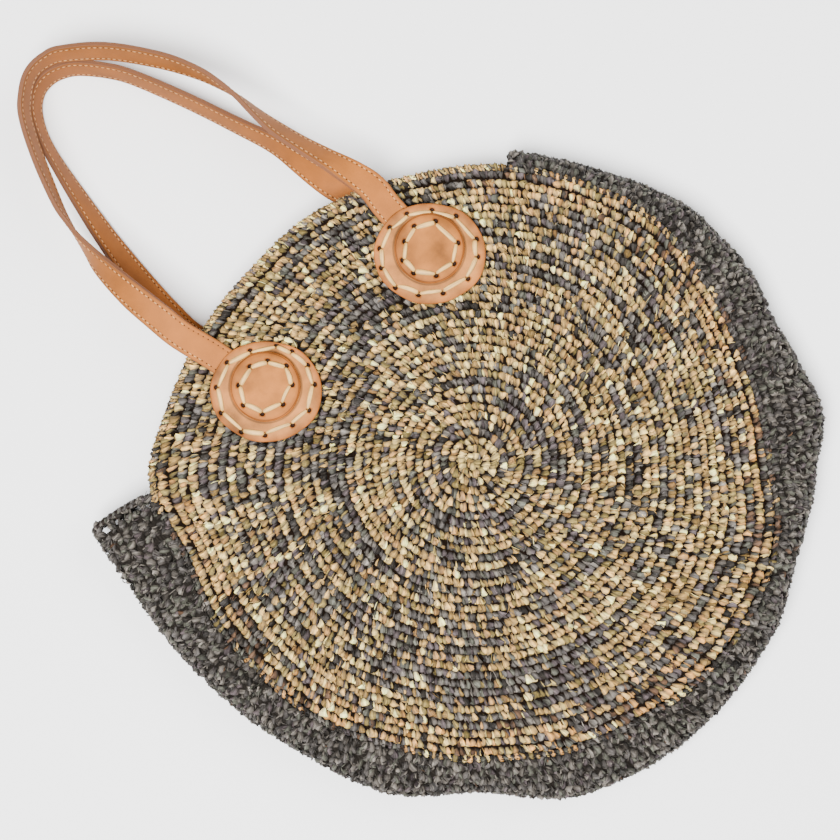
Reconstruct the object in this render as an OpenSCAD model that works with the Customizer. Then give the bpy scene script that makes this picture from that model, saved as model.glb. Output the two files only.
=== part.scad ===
// Round crocheted straw bag with two laced leather handles, lying flat on its back panel.
// Origin: the middle of the back panel's resting face. +Y points to the mouth and the handles,
// +Z points out of the front panel, +X is to the right seen from the front.

/* [Bag] */
// Diameter of a round panel with its seam
bag_d = 400; // [340:5:460]
// Thickness of the crocheted fabric
fabric_t = 4; // [3:0.25:5]
// Height over both panels as the empty bag lies flat
flat_h = 34; // [32:1:44]
// Diameter of the seam rope and of the finished mouth edges
seam_d = 5; // [4:0.25:6]
// Arc that the mouth takes of the rim, in degrees
mouth_angle = 104; // [90:2:116]
// Direction of the middle of the mouth, in degrees
mouth_mid_angle = 93; // [90:1:96]

/* [Gusset] */
// How far a full fold of the side strip bulges past the rim
gusset_reach = 25; // [15:1:35]
// Least bulge past the rim, where the side strip is tucked in
gusset_tuck = 1.5; // [1:0.25:4]
// Diameter of the finished edge at each end of the side strip
gusset_edge_d = 5; // [4:0.25:7]
// How far the fold lags behind the rim at the left end of the side strip, in degrees
gusset_lag_angle = 3; // [0:0.5:4]

/* [Medallions] */
// Distance between the middles of the two medallions on a panel
medallion_gap = 140; // [120:2:170]
// Distance from the rim down to the middle of a medallion
medallion_drop = 77.5; // [70:0.5:90]
// How far each hand laced medallion sits off the common height
medallion_skew = 2.7; // [0:0.1:4]
// Diameter of the base disc
base_disc_d = 71; // [66:1:80]
// Diameter of the cap disc
cap_disc_d = 47; // [44:1:52]
// How far the backing disc inside the bag stays inside the base disc's edge
backing_inset = 1.5; // [0:0.25:2]
// Thickness of the leather of the base and cap discs
disc_t = 2.2; // [1.6:0.1:2.8]
// Thickness of the leather of the backing disc
backing_t = 1.6; // [1.2:0.1:2.2]
// Number of lace holes in the outer ring
outer_holes = 12; // [10:1:12]
// Number of lace holes in the inner ring
inner_holes = 8; // [6:1:8]
// Distance from the base disc's edge to the middle of the outer ring's holes
outer_ring_inset = 4.5; // [4.5:0.25:6]
// Distance from the cap disc's edge to the middle of the inner ring's holes
inner_ring_inset = 5.2; // [4.4:0.2:6]
// Diameter of a lace hole
hole_d = 3.2; // [2.8:0.1:3.6]
// Width of the flat lace
lace_w = 3; // [2:0.1:3.4]
// Thickness of the flat lace
lace_t = 1; // [0.6:0.1:1.4]
// Diameter of the lace where it passes through a hole
lace_leg_d = 2.2; // [1.6:0.1:2.4]

/* [Handles] */
// Width of the strap
strap_w = 19.5; // [17:0.5:20]
// Thickness of each of the strap's two plies
ply_t = 1.6; // [1.2:0.1:2]
// How far the top of a handle reaches past the rim
handle_reach = 187; // [160:1:220]
// How far the fixed strap end runs past its base disc
strap_stub = 6; // [5:0.5:9]
// Distance from the strap's edge to its row of stitches
stitch_inset = 2.4; // [1.8:0.1:3]
// Width of a row of stitches
stitch_w = 0.8; // [0.6:0.1:1.1]
// How far the stitches stand out of the leather
stitch_proud = 0.3; // [0.2:0.05:0.4]

/* [Hidden] */
$fn = 96;

// Clearances: between soft pieces that meet, between stacked discs, and past a cut
seat_gap = 0.25;
stack_gap = 0.05;
overrun = 1;
// Gap between the two plies, which the glue fills
glue_gap = 0.1;
// Gap under the lowest lace, and under the strap, to the surface that the bag lies on
floor_gap = 0.2;

// Rings of the bag seen from above: rim, middle of the seam, panel, inner edge of the gusset
bag_r = bag_d / 2;
seam_mid_r = bag_r - seam_d / 2;
panel_r = bag_r - seam_d - seat_gap;
gusset_r = bag_r + seat_gap;
mouth_start_angle = mouth_mid_angle - mouth_angle / 2;
gusset_start_angle = mouth_start_angle + mouth_angle;
gusset_angle = 360 - mouth_angle;
// Angle that keeps the ends of seams and edges apart
end_angle = asin(seat_gap / bag_r);
front_z = flat_h - fabric_t;

// Medallions: height above the middle of the panel, backing disc, circles through the holes
medallion_rise = bag_r - medallion_drop;
backing_disc_d = base_disc_d - 2 * backing_inset;
outer_ring_d = base_disc_d - 2 * outer_ring_inset;
inner_ring_d = cap_disc_d - 2 * inner_ring_inset;

// Levels of a medallion's stack, counted outwards from the face of its panel
strap_t = 2 * ply_t + glue_gap;
strap_level = stitch_proud + stack_gap;
base_level = strap_level + strap_t + stack_gap;
cap_level = base_level + disc_t + stack_gap;
outer_lace_level = cap_level;
inner_lace_level = cap_level + disc_t + stack_gap;
stack_top = inner_lace_level + lace_t;
// Levels inside the bag, counted inwards from the same face
backing_level = fabric_t + stack_gap;
inside_lace_level = backing_level + backing_t + stack_gap;
stack_bottom = inside_lace_level + lace_t;

// The back panel lifts over its medallions, from the flat middle up to this height
back_lift = stack_top + floor_gap;
lift_end_y = medallion_rise - medallion_skew - base_disc_d / 2;
lift_start_y = lift_end_y - base_disc_d / 2 - back_lift;
lift_steps = 6;

function smooth(t) = t <= 0 ? 0 : t >= 1 ? 1 : t * t * (3 - 2 * t);
function lift_at(y) = back_lift * smooth((y - lift_start_y) / (lift_end_y - lift_start_y));

// Bulge of the gusset in equal steps from the left end of the mouth round the bottom to the
// right end, as shares of its reach
bulge_shares = [
    2.03, 1.36, 1.02, 0.83, 0.85, 0.77, 0.76, 1.10, 1.11,
    0.99, 0.81, 0.83, 1.14, 0.63, 0.67, 0.51, 0.12, 0.02
];
gusset_steps = 64;
gusset_arcs = 8;

// Smooth curve through a table, for a row number that need not be whole
function table_row(t, i) = t[max(0, min(len(t) - 1, i))];
function smooth_row(t, x) =
    let (i = floor(x), f = x - i,
         a = table_row(t, i - 1), b = table_row(t, i),
         c = table_row(t, i + 1), d = table_row(t, i + 2))
    ((2 * b) + (c - a) * f + (2 * a - 5 * b + 4 * c - d) * f * f
        + (3 * b - a - 3 * c + d) * f * f * f) / 2;

// The fold catches up with the rim within this share of the gusset
lag_share = 0.12;
function lag_at(u) = gusset_lag_angle * pow(max(0, 1 - u / lag_share), 2);
function bulge_at(u) =
    let (share = smooth_row(bulge_shares, u * (len(bulge_shares) - 1)))
    fabric_t + gusset_tuck + gusset_reach * max(0, share);

// Strap routes: x as a share of the medallion gap, y as a share of the way from the root to the
// rim (below zero) or of the reach past the rim, lift as a share of the way down from the root's
// level to the resting surface, and the strap's roll in degrees
front_route_shares = [
    [0.507, -0.61, 1.05, 8], [0.488, -0.27, 1.02, 22], [0.444, 0.052, 0.92, 45],
    [0.396, 0.151, 0.84, 58], [0.354, 0.250, 0.77, 67], [0.335, 0.335, 0.72, 77],
    [0.323, 0.425, 0.69, 86], [0.304, 0.505, 0.67, 93], [0.260, 0.592, 0.65, 101],
    [0.173, 0.709, 0.63, 107], [0.018, 0.860, 0.62, 108], [-0.144, 0.964, 0.61, 105],
    [-0.215, 0.986, 0.61, 101], [-0.285, 0.990, 0.61, 98], [-0.346, 0.976, 0.61, 97],
    [-0.405, 0.943, 0.61, 97], [-0.458, 0.894, 0.61, 98], [-0.514, 0.809, 0.61, 99],
    [-0.577, 0.694, 0.62, 99], [-0.636, 0.575, 0.65, 94], [-0.658, 0.504, 0.67, 88],
    [-0.668, 0.442, 0.70, 81], [-0.673, 0.385, 0.75, 70], [-0.676, 0.310, 0.82, 52],
    [-0.663, 0.176, 0.94, 29], [-0.638, 0.040, 1.02, 12], [-0.618, -0.30, 1.06, 3]
];
back_route_shares = [
    [0.452, -0.60, 0.85, 0], [0.408, -0.20, 0.45, -7], [0.375, 0.040, 0.22, -28],
    [0.348, 0.135, 0.11, -46], [0.314, 0.245, 0.05, -60], [0.249, 0.370, 0.03, -68],
    [0.146, 0.566, 0.02, -72], [0.030, 0.755, 0.02, -76], [-0.042, 0.837, 0.02, -78],
    [-0.128, 0.908, 0.02, -79], [-0.194, 0.942, 0.02, -80], [-0.267, 0.960, 0.02, -80],
    [-0.338, 0.955, 0.02, -80], [-0.399, 0.928, 0.02, -80], [-0.448, 0.880, 0.02, -80],
    [-0.490, 0.808, 0.02, -80], [-0.522, 0.710, 0.02, -79], [-0.562, 0.534, 0.02, -75],
    [-0.590, 0.370, 0.05, -64], [-0.604, 0.213, 0.13, -44], [-0.609, 0.060, 0.27, -24],
    [-0.600, -0.30, 0.52, -7]
];
// Steps of the strap's surface from one point of its route to the next
route_steps = 2;
// How the strap leaves each medallion, turned to the left of straight up, in degrees
front_right_angle = 0;
front_left_angle = 13;
back_right_angle = 4;
back_left_angle = 9;

function medallion_x(side) = side * medallion_gap / 2;
function medallion_y(side) = medallion_rise - side * medallion_skew;
function heading(turn) = [-sin(turn), cos(turn)];
stub_reach = base_disc_d / 2 + strap_stub;
function root_xy(side, turn) = [medallion_x(side), medallion_y(side)] + stub_reach * heading(turn);

// Height of the middle of a strap that rests on its lower edge at a given roll
half_strap = strap_t / 2 + stitch_proud;
function rest_z(roll) = floor_gap + strap_w / 2 * abs(sin(roll)) + half_strap * abs(cos(roll));
front_strap_z = flat_h + strap_level + strap_t / 2;
back_strap_z = back_lift - strap_level - strap_t / 2;

// Stations of a handle: x, y, z and roll from the right root round to the left root
function route_y(share, root_y) =
    bag_r + share * (share < 0 ? bag_r - root_y : handle_reach);
function route_station(row, root_y, root_z) = [
    row[0] * medallion_gap,
    route_y(row[1], root_y),
    rest_z(row[3]) + row[2] * (root_z - rest_z(0)),
    row[3]
];
function root_station(side, turn, root_z, back) =
    let (p = root_xy(side, turn) - back * heading(turn)) [p[0], p[1], root_z, 0];
function stations(shares, right_turn, left_turn, root_z) =
    let (last = len(shares) - 1,
         ry = root_xy(1, right_turn)[1],
         ly = root_xy(-1, left_turn)[1])
    [
        root_station(1, right_turn, root_z, strap_stub + strap_w),
        root_station(1, right_turn, root_z, 0),
        for (i = [0:last]) route_station(shares[i], i * 2 < last ? ry : ly, root_z),
        root_station(-1, left_turn, root_z, 0),
        root_station(-1, left_turn, root_z, strap_stub + strap_w)
    ];
function curve(st) = [
    for (i = [1:len(st) - 3], k = [0:route_steps - 1]) smooth_row(st, i + k / route_steps),
    st[len(st) - 2]
];
function point_of(p) = [p[0], p[1], p[2]];
function unit(v) = v / norm(v);

// Directions along, across and through the strap at station i of a curve
function strap_frame(c, i, first, final) =
    let (t = i == 0 ? first
            : i == len(c) - 1 ? final
            : unit(point_of(c[i + 1]) - point_of(c[i - 1])),
         out = unit([t[1], -t[0], 0]),
         up = cross(out, t),
         roll = c[i][3])
    [cos(roll) * out - sin(roll) * up, sin(roll) * out + cos(roll) * up];

// Closed solid through rings of equally many points, whose first half runs opposite the second.
// The two halves split their quads along mirrored diagonals, so faces that lie on each other
// match.
function cap(n, base, turned) = [
    for (j = [0:n / 2 - 2])
        let (a = base + j, b = a + 1, c = base + n - 1 - j, d = c - 1)
        each turned ? [[a, d, b], [a, c, d]] : [[a, b, d], [a, d, c]]
];
module ring_sweep(rings) {
    n = len(rings[0]);
    last = len(rings) - 1;
    points = [for (ring = rings) each ring];
    sides = [
        for (i = [0:last - 1], j = [0:n - 1])
            let (k = (j + 1) % n, a = i * n + j, b = i * n + k, c = a + n, d = b + n)
            each j < n / 2 ? [[a, c, d], [a, d, b]] : [[a, c, b], [b, c, d]]
    ];
    polyhedron(points, concat(sides, cap(n, 0, false), cap(n, last * n, true)));
}

// Band along a handle: across takes the places that are listed, through goes from t0 to t1
module strap_band(shares, right_turn, left_turn, root_z, across, t0, t1) {
    c = curve(stations(shares, right_turn, left_turn, root_z));
    first = concat(heading(right_turn), 0);
    final = -concat(heading(left_turn), 0);
    m = len(across);
    ring_sweep([
        for (i = [0:len(c) - 1])
            let (f = strap_frame(c, i, first, final), p = point_of(c[i]))
            concat([for (a = across) p + a * f[0] + t1 * f[1]],
                   [for (j = [m - 1:-1:0]) p + across[j] * f[0] + t0 * f[1]])
    ]);
}

module front_strap(across, t0, t1)
    strap_band(front_route_shares, front_right_angle, front_left_angle, front_strap_z, across, t0, t1);
module back_strap(across, t0, t1)
    strap_band(back_route_shares, back_right_angle, back_left_angle, back_strap_z, across, t0, t1);

// Two rows of stitches on each face of a strap: row is 1 or -1 across, face is 1 on top and -1
// below. A ply has edges along both rows, so that the stitches lie flush on it.
stitch_outer = strap_w / 2 - stitch_inset;
stitch_inner = stitch_outer - stitch_w;
stitch_t = strap_t / 2 + stack_gap;
function stitch_row(row) = row > 0 ? [stitch_inner, stitch_outer] : [-stitch_outer, -stitch_inner];
ply_across = concat(-strap_w / 2, stitch_row(-1), stitch_row(1), strap_w / 2);
function low_t(face) = face > 0 ? stitch_t : -strap_t / 2 - stitch_proud;
function high_t(face) = face > 0 ? strap_t / 2 + stitch_proud : -stitch_t;

// A piece of the front keeps its place; a piece of the back is turned face down below the lift
module on_front() translate([0, 0, flat_h]) children();
module on_back() translate([0, 0, back_lift]) mirror([0, 0, 1]) children();
module at_medallion(side, turn)
    translate([medallion_x(side), medallion_y(side), 0]) rotate([0, 0, turn]) children();

// Holes of both lace rings, from one level to another
module ring_holes(ring_d, count, d, from, to)
    for (i = [0:count - 1])
        rotate([0, 0, 90 + i * 360 / count])
            translate([ring_d / 2, 0, from]) cylinder(d = d, h = to - from);
module lace_holes(from, to) {
    ring_holes(outer_ring_d, outer_holes, hole_d, from, to);
    ring_holes(inner_ring_d, inner_holes, hole_d, from, to);
}

// Flat lace laid from hole to hole, as a ring with one straight side for each stitch
module lace_ring(ring_d, count, level)
    translate([0, 0, level]) rotate([0, 0, 90])
        difference() {
            cylinder(d = ring_d + lace_w, h = lace_t, $fn = count);
            translate([0, 0, -overrun])
                cylinder(d = ring_d - lace_w, h = lace_t + 2 * overrun, $fn = count);
        }
module lace(ring_d, count, level) {
    lace_ring(ring_d, count, level);
    lace_ring(ring_d, count, -stack_bottom);
    ring_holes(ring_d, count, lace_leg_d, -stack_bottom, level + lace_t);
}

module strap_end() {
    end_inside = outer_ring_d / 2 + hole_d;
    difference() {
        translate([-strap_w / 2, -end_inside, strap_level])
            cube([strap_w, end_inside + stub_reach - stack_gap, strap_t]);
        lace_holes(strap_level - overrun, strap_level + strap_t + overrun);
    }
}
module base_disc()
    difference() {
        translate([0, 0, base_level]) cylinder(d = base_disc_d, h = disc_t);
        lace_holes(base_level - overrun, base_level + disc_t + overrun);
    }
module cap_disc()
    difference() {
        translate([0, 0, cap_level]) cylinder(d = cap_disc_d, h = disc_t);
        ring_holes(inner_ring_d, inner_holes, hole_d, cap_level - overrun, cap_level + disc_t + overrun);
    }
module backing_disc()
    difference() {
        translate([0, 0, -backing_level - backing_t]) cylinder(d = backing_disc_d, h = backing_t);
        lace_holes(-backing_level - backing_t - overrun, -backing_level + overrun);
    }
module outer_lace() lace(outer_ring_d, outer_holes, outer_lace_level);
module inner_lace() lace(inner_ring_d, inner_holes, inner_lace_level);

// Holes that both laces need through a panel
module panel_holes(right_turn, left_turn) {
    at_medallion(1, right_turn) lace_holes(-fabric_t - overrun, overrun);
    at_medallion(-1, left_turn) lace_holes(-fabric_t - overrun, overrun);
}

module front_panel()
    color("tan") difference() {
        translate([0, 0, front_z]) cylinder(r = panel_r, h = fabric_t);
        on_front() panel_holes(front_right_angle, front_left_angle);
    }

// Side view of the back panel: flat, then a smooth rise to the lifted part over its medallions
module back_profile() {
    ys = concat([-bag_r],
        [for (i = [0:lift_steps]) lift_start_y + i / lift_steps * (lift_end_y - lift_start_y)],
        [bag_r]);
    last = len(ys) - 1;
    polygon(concat(
        [for (y = ys) [y, lift_at(y)]],
        [for (i = [last:-1:0]) [ys[i], lift_at(ys[i]) + fabric_t]]));
}
module back_panel()
    color("tan") difference() {
        intersection() {
            cylinder(r = panel_r, h = flat_h);
            translate([-bag_r, 0, 0]) rotate([90, 0, 90]) linear_extrude(bag_d) back_profile();
        }
        on_back() panel_holes(back_right_angle, back_left_angle);
    }

// Round rope along the rim, on the mouth's arc or on the gusset's arc
module rim_rope(start, span, z)
    translate([0, 0, z]) rotate([0, 0, start + end_angle])
        rotate_extrude(angle = span - 2 * end_angle) translate([seam_mid_r, 0]) circle(d = seam_d);
seam_z = seam_d / 2;
module front_seam()
    color("dimgray") rim_rope(gusset_start_angle, gusset_angle, flat_h - seam_z);
module front_mouth_edge()
    color("burlywood") rim_rope(mouth_start_angle, mouth_angle, flat_h - seam_z);
module back_mouth_edge()
    color("burlywood") rim_rope(mouth_start_angle, mouth_angle, back_lift + seam_z);

seam_sides = 10;
module back_seam()
    color("dimgray") ring_sweep([
        for (i = [0:gusset_steps])
            let (a = gusset_start_angle + end_angle + i / gusset_steps * (gusset_angle - 2 * end_angle),
                 z = lift_at(seam_mid_r * sin(a)) + seam_z)
            [for (j = [0:seam_sides - 1])
                let (b = (j + 0.5) * 360 / seam_sides,
                     r = seam_mid_r + seam_z * cos(b))
                [r * cos(a), r * sin(a), z + seam_z * sin(b)]]
    ]);

// Section of the gusset: an outer curve from the back panel's rim to the front panel's rim and
// an inner curve back, each half an ellipse
function half_ellipse(reach, low, high, from, to) = [
    for (k = [0:gusset_arcs])
        let (b = from + k / gusset_arcs * (to - from))
        [reach * cos(b), (low + high) / 2 + (high - low) / 2 * sin(b)]
];
function gusset_section(u) =
    let (a = gusset_start_angle + u * gusset_angle,
         low = lift_at(bag_r * sin(a)),
         b = bulge_at(u))
    concat(half_ellipse(b, low, flat_h, -90, 90),
           half_ellipse(b - fabric_t, low + fabric_t, front_z, 90, -90));
module gusset()
    color("darkslategray") ring_sweep([
        for (i = [0:gusset_steps])
            let (u = i / gusset_steps, start = gusset_start_angle + u * gusset_angle)
            [for (p = gusset_section(u))
                let (a = start + lag_at(u) * p[0] / bulge_at(u), r = gusset_r + p[0])
                [r * cos(a), r * sin(a), p[1]]]
    ]);

// Finished edge at an end of the gusset: a round rope along the middle of the section, just
// past the end
edge_sides = 8;
edge_steps = 12;
module gusset_edge(u, side) {
    a = gusset_start_angle + u * gusset_angle;
    low = lift_at(bag_r * sin(a)) + gusset_edge_d / 2;
    high = flat_h - gusset_edge_d / 2;
    reach = bulge_at(u) - gusset_edge_d / 2;
    along = [-sin(a), cos(a)];
    out = [cos(a), sin(a)];
    base = (gusset_r + gusset_edge_d / 2) * out + side * (gusset_edge_d / 2 + seat_gap) * along;
    ring_sweep([
        for (i = [0:edge_steps])
            let (b = -90 + i / edge_steps * 180,
                 mid = [reach * cos(b), (low + high) / 2 + (high - low) / 2 * sin(b)],
                 tangent = unit([-reach * sin(b), (high - low) / 2 * cos(b)]),
                 normal = [tangent[1], -tangent[0]],
                 lag = (gusset_r + mid[0]) * sin(lag_at(u) * mid[0] / reach))
            [for (j = [0:edge_sides - 1])
                let (g = side * (j + 0.5) * 360 / edge_sides,
                     s = gusset_edge_d / 2 * cos(g),
                     q = mid + gusset_edge_d / 2 * sin(g) * normal,
                     xy = base + (s + lag) * along + q[0] * out)
                [xy[0], xy[1], q[1]]]
    ]);
}
module gusset_left_edge() color("darkslategray") gusset_edge(0, -1);
module gusset_right_edge() color("darkslategray") gusset_edge(1, 1);

// The pieces of each medallion, in the places that their panel gives them
module back_left() on_back() at_medallion(-1, back_left_angle) children();
module back_right() on_back() at_medallion(1, back_right_angle) children();
module front_left() on_front() at_medallion(-1, front_left_angle) children();
module front_right() on_front() at_medallion(1, front_right_angle) children();

module back_left_strap_end() color("peru") back_left() strap_end();
module back_left_base_disc() color("rosybrown") back_left() base_disc();
module back_left_cap_disc() color("burlywood") back_left() cap_disc();
module back_left_backing_disc() color("sienna") back_left() backing_disc();
module back_left_outer_lace() color("wheat") back_left() outer_lace();
module back_left_inner_lace() color("wheat") back_left() inner_lace();
module back_right_strap_end() color("peru") back_right() strap_end();
module back_right_base_disc() color("rosybrown") back_right() base_disc();
module back_right_cap_disc() color("burlywood") back_right() cap_disc();
module back_right_backing_disc() color("sienna") back_right() backing_disc();
module back_right_outer_lace() color("wheat") back_right() outer_lace();
module back_right_inner_lace() color("wheat") back_right() inner_lace();
module front_left_strap_end() color("peru") front_left() strap_end();
module front_left_base_disc() color("rosybrown") front_left() base_disc();
module front_left_cap_disc() color("burlywood") front_left() cap_disc();
module front_left_backing_disc() color("sienna") front_left() backing_disc();
module front_left_outer_lace() color("wheat") front_left() outer_lace();
module front_left_inner_lace() color("wheat") front_left() inner_lace();
module front_right_strap_end() color("peru") front_right() strap_end();
module front_right_base_disc() color("rosybrown") front_right() base_disc();
module front_right_cap_disc() color("burlywood") front_right() cap_disc();
module front_right_backing_disc() color("sienna") front_right() backing_disc();
module front_right_outer_lace() color("wheat") front_right() outer_lace();
module front_right_inner_lace() color("wheat") front_right() inner_lace();

module front_handle_outer_ply()
    color("peru") front_strap(ply_across, glue_gap / 2, strap_t / 2);
module front_handle_lining_ply()
    color("peru") front_strap(ply_across, -strap_t / 2, -glue_gap / 2);
module front_handle_stitching()
    color("linen") for (row = [-1, 1], face = [-1, 1])
        front_strap(stitch_row(row), low_t(face), high_t(face));
module back_handle_outer_ply()
    color("peru") back_strap(ply_across, -strap_t / 2, -glue_gap / 2);
module back_handle_lining_ply()
    color("peru") back_strap(ply_across, glue_gap / 2, strap_t / 2);
module back_handle_stitching()
    color("linen") for (row = [-1, 1], face = [-1, 1])
        back_strap(stitch_row(row), low_t(face), high_t(face));

back_panel();
gusset();
back_seam();
back_mouth_edge();
gusset_left_edge();
gusset_right_edge();
back_left_strap_end();
back_left_base_disc();
back_left_cap_disc();
back_left_backing_disc();
back_left_outer_lace();
back_left_inner_lace();
back_right_strap_end();
back_right_base_disc();
back_right_cap_disc();
back_right_backing_disc();
back_right_outer_lace();
back_right_inner_lace();
front_panel();
front_seam();
front_mouth_edge();
front_left_strap_end();
front_left_base_disc();
front_left_cap_disc();
front_left_backing_disc();
front_left_outer_lace();
front_left_inner_lace();
front_right_strap_end();
front_right_base_disc();
front_right_cap_disc();
front_right_backing_disc();
front_right_outer_lace();
front_right_inner_lace();
front_handle_outer_ply();
front_handle_lining_ply();
front_handle_stitching();
back_handle_outer_ply();
back_handle_lining_ply();
back_handle_stitching();
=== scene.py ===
"""Looks of the round crocheted straw bag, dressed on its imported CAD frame.

Every length below is in millimetres until put() writes a mesh in metres. +Z points out of the
front panel, +Y to the mouth. Angles round the bag are counted from +X, seen from the front.
Chances come from seeded generators, so every run gives the same bag.
"""

import math

import bpy
import numpy as np
from bpy.props import FloatProperty, FloatVectorProperty, PointerProperty
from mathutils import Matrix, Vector


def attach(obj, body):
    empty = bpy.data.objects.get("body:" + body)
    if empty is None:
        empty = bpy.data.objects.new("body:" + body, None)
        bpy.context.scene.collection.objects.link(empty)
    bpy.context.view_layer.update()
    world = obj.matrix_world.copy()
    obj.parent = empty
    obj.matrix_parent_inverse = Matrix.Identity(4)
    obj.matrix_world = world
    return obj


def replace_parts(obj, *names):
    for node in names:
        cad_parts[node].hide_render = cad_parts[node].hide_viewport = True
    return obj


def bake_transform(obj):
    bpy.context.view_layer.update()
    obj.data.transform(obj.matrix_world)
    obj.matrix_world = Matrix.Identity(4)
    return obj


bl_info = {
    "name": "Round crocheted bag",
    "version": (1, 0, 0),
    "blender": (4, 5, 0),
    "location": "View3D > Sidebar > Bag",
    "description": "Builds the straw, leather and thread of a round crocheted bag",
    "category": "Object",
}

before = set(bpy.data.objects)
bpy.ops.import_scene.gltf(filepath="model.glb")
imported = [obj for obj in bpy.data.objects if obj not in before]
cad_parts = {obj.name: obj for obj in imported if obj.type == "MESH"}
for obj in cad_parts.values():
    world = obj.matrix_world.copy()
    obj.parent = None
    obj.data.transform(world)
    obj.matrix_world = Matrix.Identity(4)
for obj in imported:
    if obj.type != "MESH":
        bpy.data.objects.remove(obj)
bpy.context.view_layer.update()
MM = 0.001

# Sizes of the part's source that the pieces are fitted to
PANEL_R, BAG_R, SEAM_D, FABRIC_T, FLAT_H = 194.75, 200.0, 5.0, 4.0, 34.0
MOUTH_MIDDLE, MOUTH_ANGLE = 93.0, 104.0
GUSSET_START, GUSSET_ANGLE = MOUTH_MIDDLE + MOUTH_ANGLE / 2, 360 - MOUTH_ANGLE
BACK_LIFT, LIFT_START, LIFT_END = 9.4, 39.4, 84.3
MEDALLION_X, MEDALLION_Y, MEDALLION_SKEW, MEDALLION_GAP = 70.0, 122.5, 2.7, 140.0
BASE_R, CAP_R, DISC_T = 35.5, 23.5, 2.2
BASE_LEVEL, CAP_LEVEL, INSIDE_LEVEL = 3.70, 5.95, -5.70
STRAP_W, STRAP_T, STITCH_ROW = 19.5, 3.3, 6.95
STRAP_LEVEL, STUB_REACH, STUB_INSIDE, REACH = 0.35, 41.5, 34.2, 187.0
FLOOR_GAP, STITCH_PROUD = 0.2, 0.3
FRONT_STRAP_Z = FLAT_H + STRAP_LEVEL + STRAP_T / 2
BACK_STRAP_Z = BACK_LIFT - STRAP_LEVEL - STRAP_T / 2
# How far the straw stands above a panel's face, by which the back panel is raised, and how far
# the gusset's lower rim is raised more
STRAW_PROUD, GUSSET_PROUD = 1.0, 0.8
# How far a seam's or a mouth edge's rope lies inside the rim, and its core's share of its radius
ROPE_INSET, ROPE_CORE_SHARE = 2.6, 0.8
# First round, counted from 0, after the inner and after the middle piece of a panel's stitches
INNER_ROUNDS, MIDDLE_ROUNDS = 20, 28
THREAD_PITCH, THREAD_LENGTH = 3.7, 2.6
# Worn rows of the front strap's outer face, before the left medallion: for the row on each side
# the length that is worn and the share of its threads that is gone
WORN_ROWS = {-1: (38, 0.9), 1: (16, 0.5)}

# Routes of the two handles: x as a share of the medallions' distance, y as a share of the way
# from root to rim or past it, height as a share, roll in degrees. Against the part's source
# they are moved by up to 2 mm and rolled by up to 14 degrees, to lie as in the photo
FRONT_ROUTE = [
    (0.507, -0.61, 1.05, 8), (0.488, -0.27, 1.02, 22), (0.444, 0.052, 0.92, 45),
    (0.400, 0.154, 0.84, 55), (0.363, 0.257, 0.77, 61), (0.344, 0.343, 0.72, 72),
    (0.330, 0.431, 0.69, 83), (0.307, 0.508, 0.67, 93), (0.265, 0.596, 0.65, 102),
    (0.178, 0.713, 0.63, 109), (0.021, 0.863, 0.62, 110), (-0.144, 0.964, 0.61, 106),
    (-0.215, 0.986, 0.61, 101), (-0.285, 0.990, 0.61, 98), (-0.346, 0.976, 0.61, 97),
    (-0.405, 0.943, 0.61, 98), (-0.463, 0.897, 0.61, 99), (-0.521, 0.813, 0.61, 100),
    (-0.582, 0.697, 0.62, 100), (-0.637, 0.575, 0.65, 95), (-0.657, 0.503, 0.67, 88),
    (-0.668, 0.442, 0.70, 81), (-0.673, 0.385, 0.75, 70), (-0.676, 0.310, 0.82, 52),
    (-0.663, 0.176, 0.94, 29), (-0.638, 0.040, 1.02, 12), (-0.618, -0.30, 1.06, 3),
]
BACK_ROUTE = [
    (0.452, -0.60, 0.85, 0), (0.408, -0.20, 0.45, -7), (0.375, 0.040, 0.22, -28),
    (0.348, 0.135, 0.11, -46), (0.314, 0.245, 0.05, -60), (0.249, 0.370, 0.03, -68),
    (0.146, 0.566, 0.02, -71), (0.031, 0.756, 0.02, -73), (-0.040, 0.839, 0.02, -74),
    (-0.125, 0.911, 0.02, -74), (-0.191, 0.945, 0.02, -75), (-0.266, 0.962, 0.02, -76),
    (-0.338, 0.956, 0.02, -77), (-0.398, 0.927, 0.02, -78), (-0.446, 0.879, 0.02, -78),
    (-0.487, 0.806, 0.02, -77), (-0.517, 0.706, 0.02, -74), (-0.556, 0.530, 0.02, -62),
    (-0.585, 0.366, 0.05, -50), (-0.601, 0.211, 0.13, -38), (-0.608, 0.059, 0.27, -22),
    (-0.600, -0.30, 0.52, -7),
]
TURNS = {"front_right": 0, "front_left": 13, "back_right": 4, "back_left": 9}

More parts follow.
